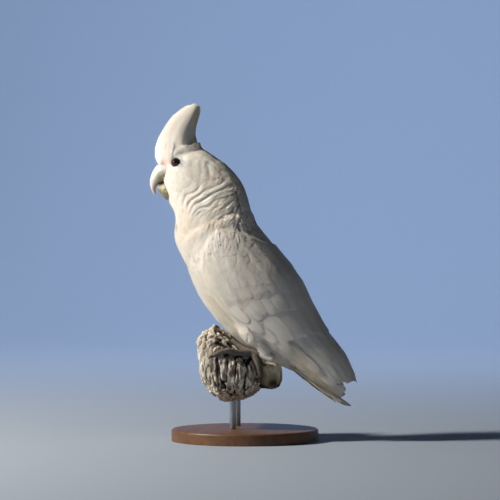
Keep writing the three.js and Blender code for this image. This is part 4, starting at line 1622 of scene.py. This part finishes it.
# Horn is satin, not glossy: light spreads on it, and faint growth lines catch it.
horn_material, tree, shader = new_material("horn_satin", 0.42, Subsurface_Weight=0.08,
                                           Subsurface_Scale=1.5 * MM)
tint = add_node(tree, "ShaderNodeAttribute", {"attribute_name": "tint"})
place = object_coordinates(tree)
grain = noise_share(tree, place, 0.35, 4.0)
mottle = add_node(tree, "ShaderNodeMapRange", i0=grain, i1=0.3, i2=0.7, i3=0.86, i4=1.06)
shade = add_node(tree, "ShaderNodeVectorMath", {"operation": "SCALE"}, i0=tint.outputs["Color"],
                 Scale=mottle.outputs[0])
growth = add_node(tree, "ShaderNodeTexWave", {"bands_direction": "DIAGONAL"}, Vector=place,
                  Scale=0.11 / MM, Distortion=3.0, Detail=2.0)
tree.links.new(shade.outputs[0], shader.inputs["Base Color"])
roughen(tree, shader, growth.outputs["Fac"], 0.35, 0.12)
print("nodes in the horn:", len(tree.nodes))

# %% Bill


def smooth_piece(name, of_nodes, voxel, smoothing, material, swell=0.0):
    """A smooth piece in the place of the named CAD nodes."""
    made = melted(of_nodes, swell * MM, voxel * MM, smoothing, name)
    made.data.materials.append(material)
    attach(made, BODY)
    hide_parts(*of_nodes)
    return made


upper_bill = smooth_piece("upper_bill", ("bill_upper",), 0.5, 18, horn_material, 0.3)
flat = side_view(points_of(upper_bill.data))
cutting_edge = smooth_step(-flat[:, 1], -344, -328) * smooth_step(flat[:, 0], -116, -106)
paint(upper_bill, layered(BONE, len(flat), (
    (BLUISH, 0.75 * blotch(flat, (-98, 340), (14, 12))),
    (OLIVE, 0.95 * cutting_edge),
    (FLUSH, 0.8 * blotch(flat, (-113, 311), (7, 9))))))

lower_bill = smooth_piece("lower_bill", ("bill_lower",), 0.5, 24, horn_material, 0.3)
flat = side_view(points_of(lower_bill.data))
# Painted shade: the inner part of the lower bill turns near-black, as the shade of the mouth.
inside = smooth_step(-(flat[:, 0] * 0.72 + flat[:, 1] * 0.69), -137, -130)
paint(lower_bill, layered(OLIVE, len(flat), (
    (BONE, 0.35 * blotch(flat, (-97, 319), (9, 6))),
    (MOUTH_SHADE, 0.75 * inside))))

# %% Tongue
# The tongue is moist, so a thin clear coat gives it a small, soft highlight.
tongue_material, tree, shader = new_material("tongue_moist", 0.35, Coat_Weight=0.3)
buds = noise_share(tree, object_coordinates(tree), 1.0, 2.0)
mottled(tree, shader, buds, "#332927", "#453836")
smooth_piece("tongue_tip", ("tongue",), 0.35, 6, tongue_material, 1.6)
print("bill:", len(upper_bill.data.polygons), "+", len(lower_bill.data.polygons), "faces")

# %% [markdown]
# ## Feet
# A parrot's foot is dry grey skin covered by small raised scales, with two toes forward and two
# back. Scales repeat over a surface, so Geometry Nodes scatter them: one flat bead, set on points of
# the foot and turned to its normal, is realized into plain mesh. The claws are separate dark horn.

# %% Foot skin
# Foot skin is dry and dusty: dark in its creases, with a dull, powdery grey over the scales.
foot_material, tree, shader = new_material("foot_skin_dry", 0.68)
place = object_coordinates(tree)
dust = noise_share(tree, place, 0.25, 5.0)
mottled(tree, shader, dust, "#4d4640", "#94897d")
creases = add_node(tree, "ShaderNodeTexVoronoi", {"feature": "DISTANCE_TO_EDGE"}, Vector=place,
                   Scale=0.75 / MM)
roughen(tree, shader, creases.outputs["Distance"], 0.6, 0.25)
print("nodes in the foot skin:", len(tree.nodes))

# %% Tree of the scales
MOST_SCALES = 4.0e6


def scale_tree():
    """Scatters flat beads over a mesh, joins them with it, and realizes them."""
    tree = bpy.data.node_groups.new("scales", "GeometryNodeTree")
    sockets = tree.interface
    sockets.new_socket("Geometry", in_out="INPUT", socket_type="NodeSocketGeometry")
    for name in ("Spacing", "Size", "Thickness"):
        sockets.new_socket(name, in_out="INPUT", socket_type="NodeSocketFloat")
    sockets.new_socket("Seed", in_out="INPUT", socket_type="NodeSocketInt")
    sockets.new_socket("Material", in_out="INPUT", socket_type="NodeSocketMaterial")
    sockets.new_socket("Geometry", in_out="OUTPUT", socket_type="NodeSocketGeometry")
    given = add_node(tree, "NodeGroupInput").outputs
    scatter = add_node(tree, "GeometryNodeDistributePointsOnFaces", {"distribute_method": "POISSON"},
                       Mesh=given["Geometry"], Distance_Min=given["Spacing"], Seed=given["Seed"])
    scatter.inputs["Density Max"].default_value = MOST_SCALES
    bead = add_node(tree, "GeometryNodeMeshIcoSphere", Subdivisions=2, Radius=1.0)
    flat_size = add_node(tree, "ShaderNodeCombineXYZ", X=given["Size"], Y=given["Size"],
                         Z=given["Thickness"])
    placed = add_node(tree, "GeometryNodeInstanceOnPoints", Points=scatter.outputs["Points"],
                      Instance=bead.outputs["Mesh"], Rotation=scatter.outputs["Rotation"],
                      Scale=flat_size.outputs["Vector"])
    both = add_node(tree, "GeometryNodeJoinGeometry")
    tree.links.new(placed.outputs["Instances"], both.inputs[0])
    tree.links.new(given["Geometry"], both.inputs[0])
    real = add_node(tree, "GeometryNodeRealizeInstances", Geometry=both.outputs[0])
    finish = add_node(tree, "GeometryNodeSetMaterial", Geometry=real.outputs[0],
                      Material=given["Material"])
    smooth = add_node(tree, "GeometryNodeSetShadeSmooth", Geometry=finish.outputs[0])
    result = add_node(tree, "NodeGroupOutput")
    tree.links.new(smooth.outputs[0], result.inputs[0])
    return tree

# %% Running a tree


def run_tree(piece, tree, values):
    """Runs a node tree on a piece once and keeps the plain mesh that it makes."""
    modifier = piece.modifiers.new("made", "NODES")
    modifier.node_group = tree
    for item in tree.interface.items_tree:
        if item.in_out == "INPUT" and item.name in values:
            modifier[item.identifier] = values[item.name]
    piece.update_tag()
    evaluated = piece.evaluated_get(bpy.context.evaluated_depsgraph_get())
    piece.data = bpy.data.meshes.new_from_object(evaluated)
    piece.modifiers.clear()

# %% Feet
# Spacing, size and thickness of the scales and the swell of the toes are in mm.
TOE_SWELL = 0.8
SCALE_SPACING = 1.25
SCALE_SIZE = 0.78
SCALE_THICKNESS = 0.28
SCALES = scale_tree()
for side_name in SIDES:
    foot = melted((f"leg_{side_name}",), 0.1 * MM, 0.6 * MM, 5, f"foot_{side_name}")
    toes = points_of(foot.data)
    fuller = TOE_SWELL * (1 - smooth_step(toes[:, 0] / MM, 18, 27))
    set_points(foot.data, toes + normals_of(foot.data) * fuller[:, None] * MM)
    foot.data.materials.append(foot_material)
    run_tree(foot, SCALES, {"Spacing": SCALE_SPACING * MM, "Size": SCALE_SIZE * MM,
                            "Thickness": SCALE_THICKNESS * MM, "Seed": 7, "Material": foot_material})
    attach(foot, BODY)
    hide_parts(f"leg_{side_name}")
    print(foot.name, "-", len(foot.data.polygons), "faces")

# %% Claws
# Claw horn is darker and smoother than the bill, so it takes a narrow highlight.
claw_material, tree, shader = new_material("claw_horn_polished", 0.38)
streaks = noise_share(tree, object_coordinates(tree), 0.5, 3.0)
mottled(tree, shader, streaks, "#1f1b19", "#5e544c")
claws = [name for name in nodes if name.startswith("claw_")]
for name in claws:
    smooth_piece("nail" + name[4:], (name,), 0.3, 5, claw_material, 0.1)
print("claws:", len(claws))

# %% [markdown]
# ## Perch
# The perch is a dead branch. Its bark has shrunk into long raised plates with deep cracks, and the cracks are
# painted near-black as painted shade. The plates are real relief, because their shadows are what the eye
# reads as bark. The stub is bare wood, painted pale above as painted light and dark below as painted shade.

# %% Plates and fibres


def bend_at(place):
    """A soft random push at one place."""
    return Vector([noise.noise(place + Vector((0, 0, shift))) for shift in (0, 31, 67)])


def plates(point, width, stretch, twist):
    """Height of long bark plates, 0 in a crack, and a level for each; width is in mm."""
    x, y, z = (value / MM / width for value in point)
    bent = bend_at(Vector((x * 0.7, y * 0.7, z * 0.3)) + Vector((twist, 0, 0)))
    where = Vector((x, y * 0.9, z * stretch)) + bent * 0.9
    near = noise.voronoi(where)[0]
    return near[1] - near[0], noise.cell(where * 0.8) - 0.5


def frayed(point, pitch, stretch):
    """Fine fibres that run up the bark; pitch is in mm."""
    x, y, z = (value / MM / pitch for value in point)
    return noise.noise(Vector((x, y, z * stretch)))

# %% Bark relief
# Under the toes the bark stays below TOE_BED, in mm, so that no plate comes through a foot.
BARK_DEPTH = 3.2
WIDE_PLATE = 19
FINE_PLATE = 8
KNOB = (-36, 0)
KNOB_REACH = (14, 8.5)
KNOB_HEIGHT = 9
FINE_DEPTH = 0.9
FIBRE_DEPTH = 0.45
LAYER_DEPTH = 1.1
LAYERS = 3.5
LUMP_DEPTH = 1.5
WIDE_STEP = 1.6
FINE_STEP = 1.1
TOE_BED = -1.0

bark = melted(("perch",), 0.2 * MM, 0.95 * MM, 4, "perch_bark")
spots, ways = points_of(bark.data), normals_of(bark.data)
wide, wide_level = np.array([plates(p, WIDE_PLATE, 0.22, 0.0) for p in spots.tolist()]).T
fine, fine_level = np.array([plates(p, FINE_PLATE, 0.28, 4.0) for p in spots.tolist()]).T
fibre = np.array([frayed(p, 1.5, 0.16) for p in spots.tolist()])
flake = np.array([frayed(p, 4.0, 0.35) for p in spots.tolist()])
lumps = noise_at(spots, 60, 5.0)
knob = KNOB_HEIGHT * bump_at(spots[:, :2] / MM, KNOB, KNOB_REACH) * smooth_step(ways[:, 2], 0.0, 0.5)
wide_plate = smooth_step(wide + 0.10 * flake, 0.0, 0.16)
fine_plate = smooth_step(fine + 0.14 * fibre, 0.0, 0.15)
layer = np.floor(LAYERS * (flake + 0.35 * fibre)) / LAYERS
# The left end faces the key lamp: it gets painted light, with less brown and less black in its colours, and
# its plates are also shallower.
painted_light_end = 1 - smooth_step(spots[:, 0] / MM, -42, -26)
height = BARK_DEPTH * (1 - 0.6 * painted_light_end) * (wide_plate - 0.75)
height = height + FINE_DEPTH * (fine_plate - 0.7) + FIBRE_DEPTH * fibre + LAYER_DEPTH * layer
height = height + LUMP_DEPTH * lumps + WIDE_STEP * wide_level + FINE_STEP * fine_level * fine_plate
toe_gap = gap_to(tree_of("leg_left", "leg_right"), spots)
height = np.minimum(height, TOE_BED + 0.5 * np.maximum(toe_gap - 2, 0))
sawn = smooth_step(ways[:, 1], 0.7, 0.92)
height = height * (1 - sawn)
set_points(bark.data, spots + ways * height[:, None] * MM + knob[:, None] * np.array((0, 0, 1)) * MM)
print("bark relief, mm:", height.min().round(1), height.max().round(1))

# %% Bark colours
BARK_HIGH = pigment("#d6ccbb")
BARK_PALE = pigment("#f1ebdf")
BARK_BROWN = pigment("#745a47")
BARK_CRACK_SHADE = pigment("#120e0c")

# Brown at random and in the fine cracks, and pale fibres on the plates; the near-black in the wide cracks and
# in the deep places is painted shade, which the lighter left end gets less of.
bark_steps = [
    (BARK_BROWN, 0.35 + 1.3 * noise_at(spots, 70, 2.0) - 0.6 * painted_light_end),
    (BARK_PALE, smooth_step(fibre + 0.8 * flake, -0.05, 0.5) * fine_plate),
    (BARK_BROWN, 0.6 * (1 - fine_plate)),
    (BARK_CRACK_SHADE, (1 - 0.7 * painted_light_end) * (1 - smooth_step(wide_plate, 0.05, 0.8))),
    (BARK_CRACK_SHADE, 0.8 * (1 - 0.8 * painted_light_end) * smooth_step(-height, 1.0, 3.0)),
]
print("bark colours:", len(bark_steps), "steps over", BARK_HIGH.round(2))

# %% Sawn end
# The far end is a clean cut, so it shows pale wood with rings round a pith that is off centre.
SAWN_WOOD = pigment("#c4b08e")
SAWN_RING = pigment("#8a7052")
PITH = (-26, 92)
RING_PITCH = 3.4

from_pith = np.hypot(spots[:, 0] / MM - PITH[0], spots[:, 2] / MM - PITH[1])
rings = 0.5 + 0.5 * np.sin(2 * np.pi * from_pith / RING_PITCH + 4 * lumps)
paint(bark, layered(BARK_HIGH, len(spots), [*bark_steps, (SAWN_WOOD, sawn), (SAWN_RING, 0.6 * sawn * rings)]))
print("sawn end:", int((sawn > 0.5).sum()), "points")

# %% Bark finish
# Dead bark has no shine at all. Stretched splinters give each plate a torn, fibrous face.
bark_material, tree, shader = new_material("bark_weathered", 0.92)
take_tint(tree, shader)
splinters = noise_share(tree, stretched(tree, (1.0, 1.0, 0.3)), 0.7, 5.0)
roughen(tree, shader, splinters, 0.8, 0.8)
bark.data.materials.append(bark_material)
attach(bark, BODY)
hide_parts("perch")
print("bark:", len(bark.data.polygons), "faces")

# %% Bare wood
# Dry wood is matt; its grain runs along the stub.
wood_material, tree, shader = new_material("wood_bare_dry", 0.92)
take_tint(tree, shader)
fibres = noise_share(tree, stretched(tree, (1.0, 0.12, 1.0)), 0.6, 4.0)
roughen(tree, shader, fibres, 0.5, 0.4)
print("nodes in the bare wood:", len(tree.nodes))

# %% Stub
STUB_LIT_WOOD = pigment("#efe5cd")
STUB_HALF_SHADE = pigment("#a89d7c")
STUB_SHADE = pigment("#241e19")
STUB_SPLIT_SHADE = pigment("#6b5c48")
SPLIT_DEPTH = 0.7
KNOT_DEPTH = 1.4
STUB_SUNK = 0.5

stub = smooth_piece("stub_wood", ("perch_stub",), 0.8, 8, wood_material, 0.2)
spots, ways = points_of(stub.data), normals_of(stub.data)
splits = np.array([frayed(p, 2.6, 0.12) for p in spots.tolist()])
knots = np.array([frayed(p, 9.0, 0.5) for p in spots.tolist()])
rise = SPLIT_DEPTH * splits + KNOT_DEPTH * knots - STUB_SUNK
set_points(stub.data, spots + ways * rise[:, None] * MM)
# Painted light and shade: the bare wood's cream is made brighter at the top as painted light, turns grey and
# then near-black lower down as painted shade, and the split grooves are darkened as painted shade.
level = spots[:, 2] / MM + 9 * knots
paint(stub, layered(STUB_LIT_WOOD, len(spots), (
    (STUB_HALF_SHADE, smooth_step(-level, -92, -80)),
    (STUB_SHADE, smooth_step(-level, -80, -68)),
    (STUB_SPLIT_SHADE, 0.35 * smooth_step(-splits, 0.1, 0.5)))))
print("stub:", len(stub.data.polygons), "faces")

# %% [markdown]
# ## Stand
# The stand is a turned wood disc with two steel rods. Both kinds are solids of revolution, so one
# function turns them all from a list of radii and heights.

# %% Turned shapes


def turned(name, profile, centre, sides):
    """A solid of revolution round a vertical line, from radii and heights."""
    verts, faces = [], []
    for radius, height in profile:
        for i in range(sides):
            turn = 2 * math.pi * i / sides
            verts.append((centre[0] + radius * math.cos(turn), centre[1] + radius * math.sin(turn), height))
    for ring in range(len(profile) - 1):
        for i in range(sides):
            j = (i + 1) % sides
            faces.append((ring * sides + i, ring * sides + j, (ring + 1) * sides + j, (ring + 1) * sides + i))
    faces.append(tuple(range(sides))[::-1])
    faces.append(tuple((len(profile) - 1) * sides + i for i in range(sides)))
    mesh = bpy.data.meshes.new(name)
    mesh.from_pydata(verts, [], faces)
    mesh.shade_smooth()
    mesh.set_sharp_from_angle(angle=math.radians(35))
    piece = add_object(name, mesh)
    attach(piece, BODY)
    return piece

# %% Stand disc
STAND_SIDES = 128
ROD_SIDES = 48
base_low, base_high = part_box("stand_base")
base_radius = (base_high.x - base_low.x) / 2
EDGE_ROUND = 3 * MM

# Oiled wood has a soft, broad sheen.
stand_material, tree, shader = new_material("wood_oiled_dark", 0.45)
wood_grain = noise_share(tree, stretched(tree, (1.0, 0.08, 1.0)), 0.12, 6.0)
mottled(tree, shader, wood_grain, "#4a3021", "#8a6243")

edge = [(base_radius - EDGE_ROUND * (1 - math.sin(t)), base_high.z - EDGE_ROUND * (1 - math.cos(t)))
        for t in (math.radians(d) for d in range(90, -1, -15))]
disc = turned("stand_disc", [(base_radius, base_low.z), *edge], (0, 0), STAND_SIDES)
disc.data.materials.append(stand_material)
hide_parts("stand_base")
print("disc, mm across:", round(2 * base_radius / MM))

# %% Steel rods
# Brushed steel: a full metal, with the light drawn out by its fine scratches.
steel_material, tree, shader = new_material("steel_brushed", 0.32, Metallic=1.0)
shader.inputs["Base Color"].default_value = linear("#b9bcc0")
scratches = noise_share(tree, stretched(tree, (1.0, 1.0, 0.04)), 4.0, 2.0)
roughen(tree, shader, scratches, 0.15, 0.05)
for name in ("stand_rod_front", "stand_rod_rear"):
    low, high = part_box(name)
    radius = (high.x - low.x) / 2
    rod = turned("steel" + name[5:], [(radius, low.z), (radius, high.z)], (low + high).xy / 2, ROD_SIDES)
    rod.data.materials.append(steel_material)
    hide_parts(name)
    print(rod.name, "- mm thick:", round(2 * radius / MM, 1))
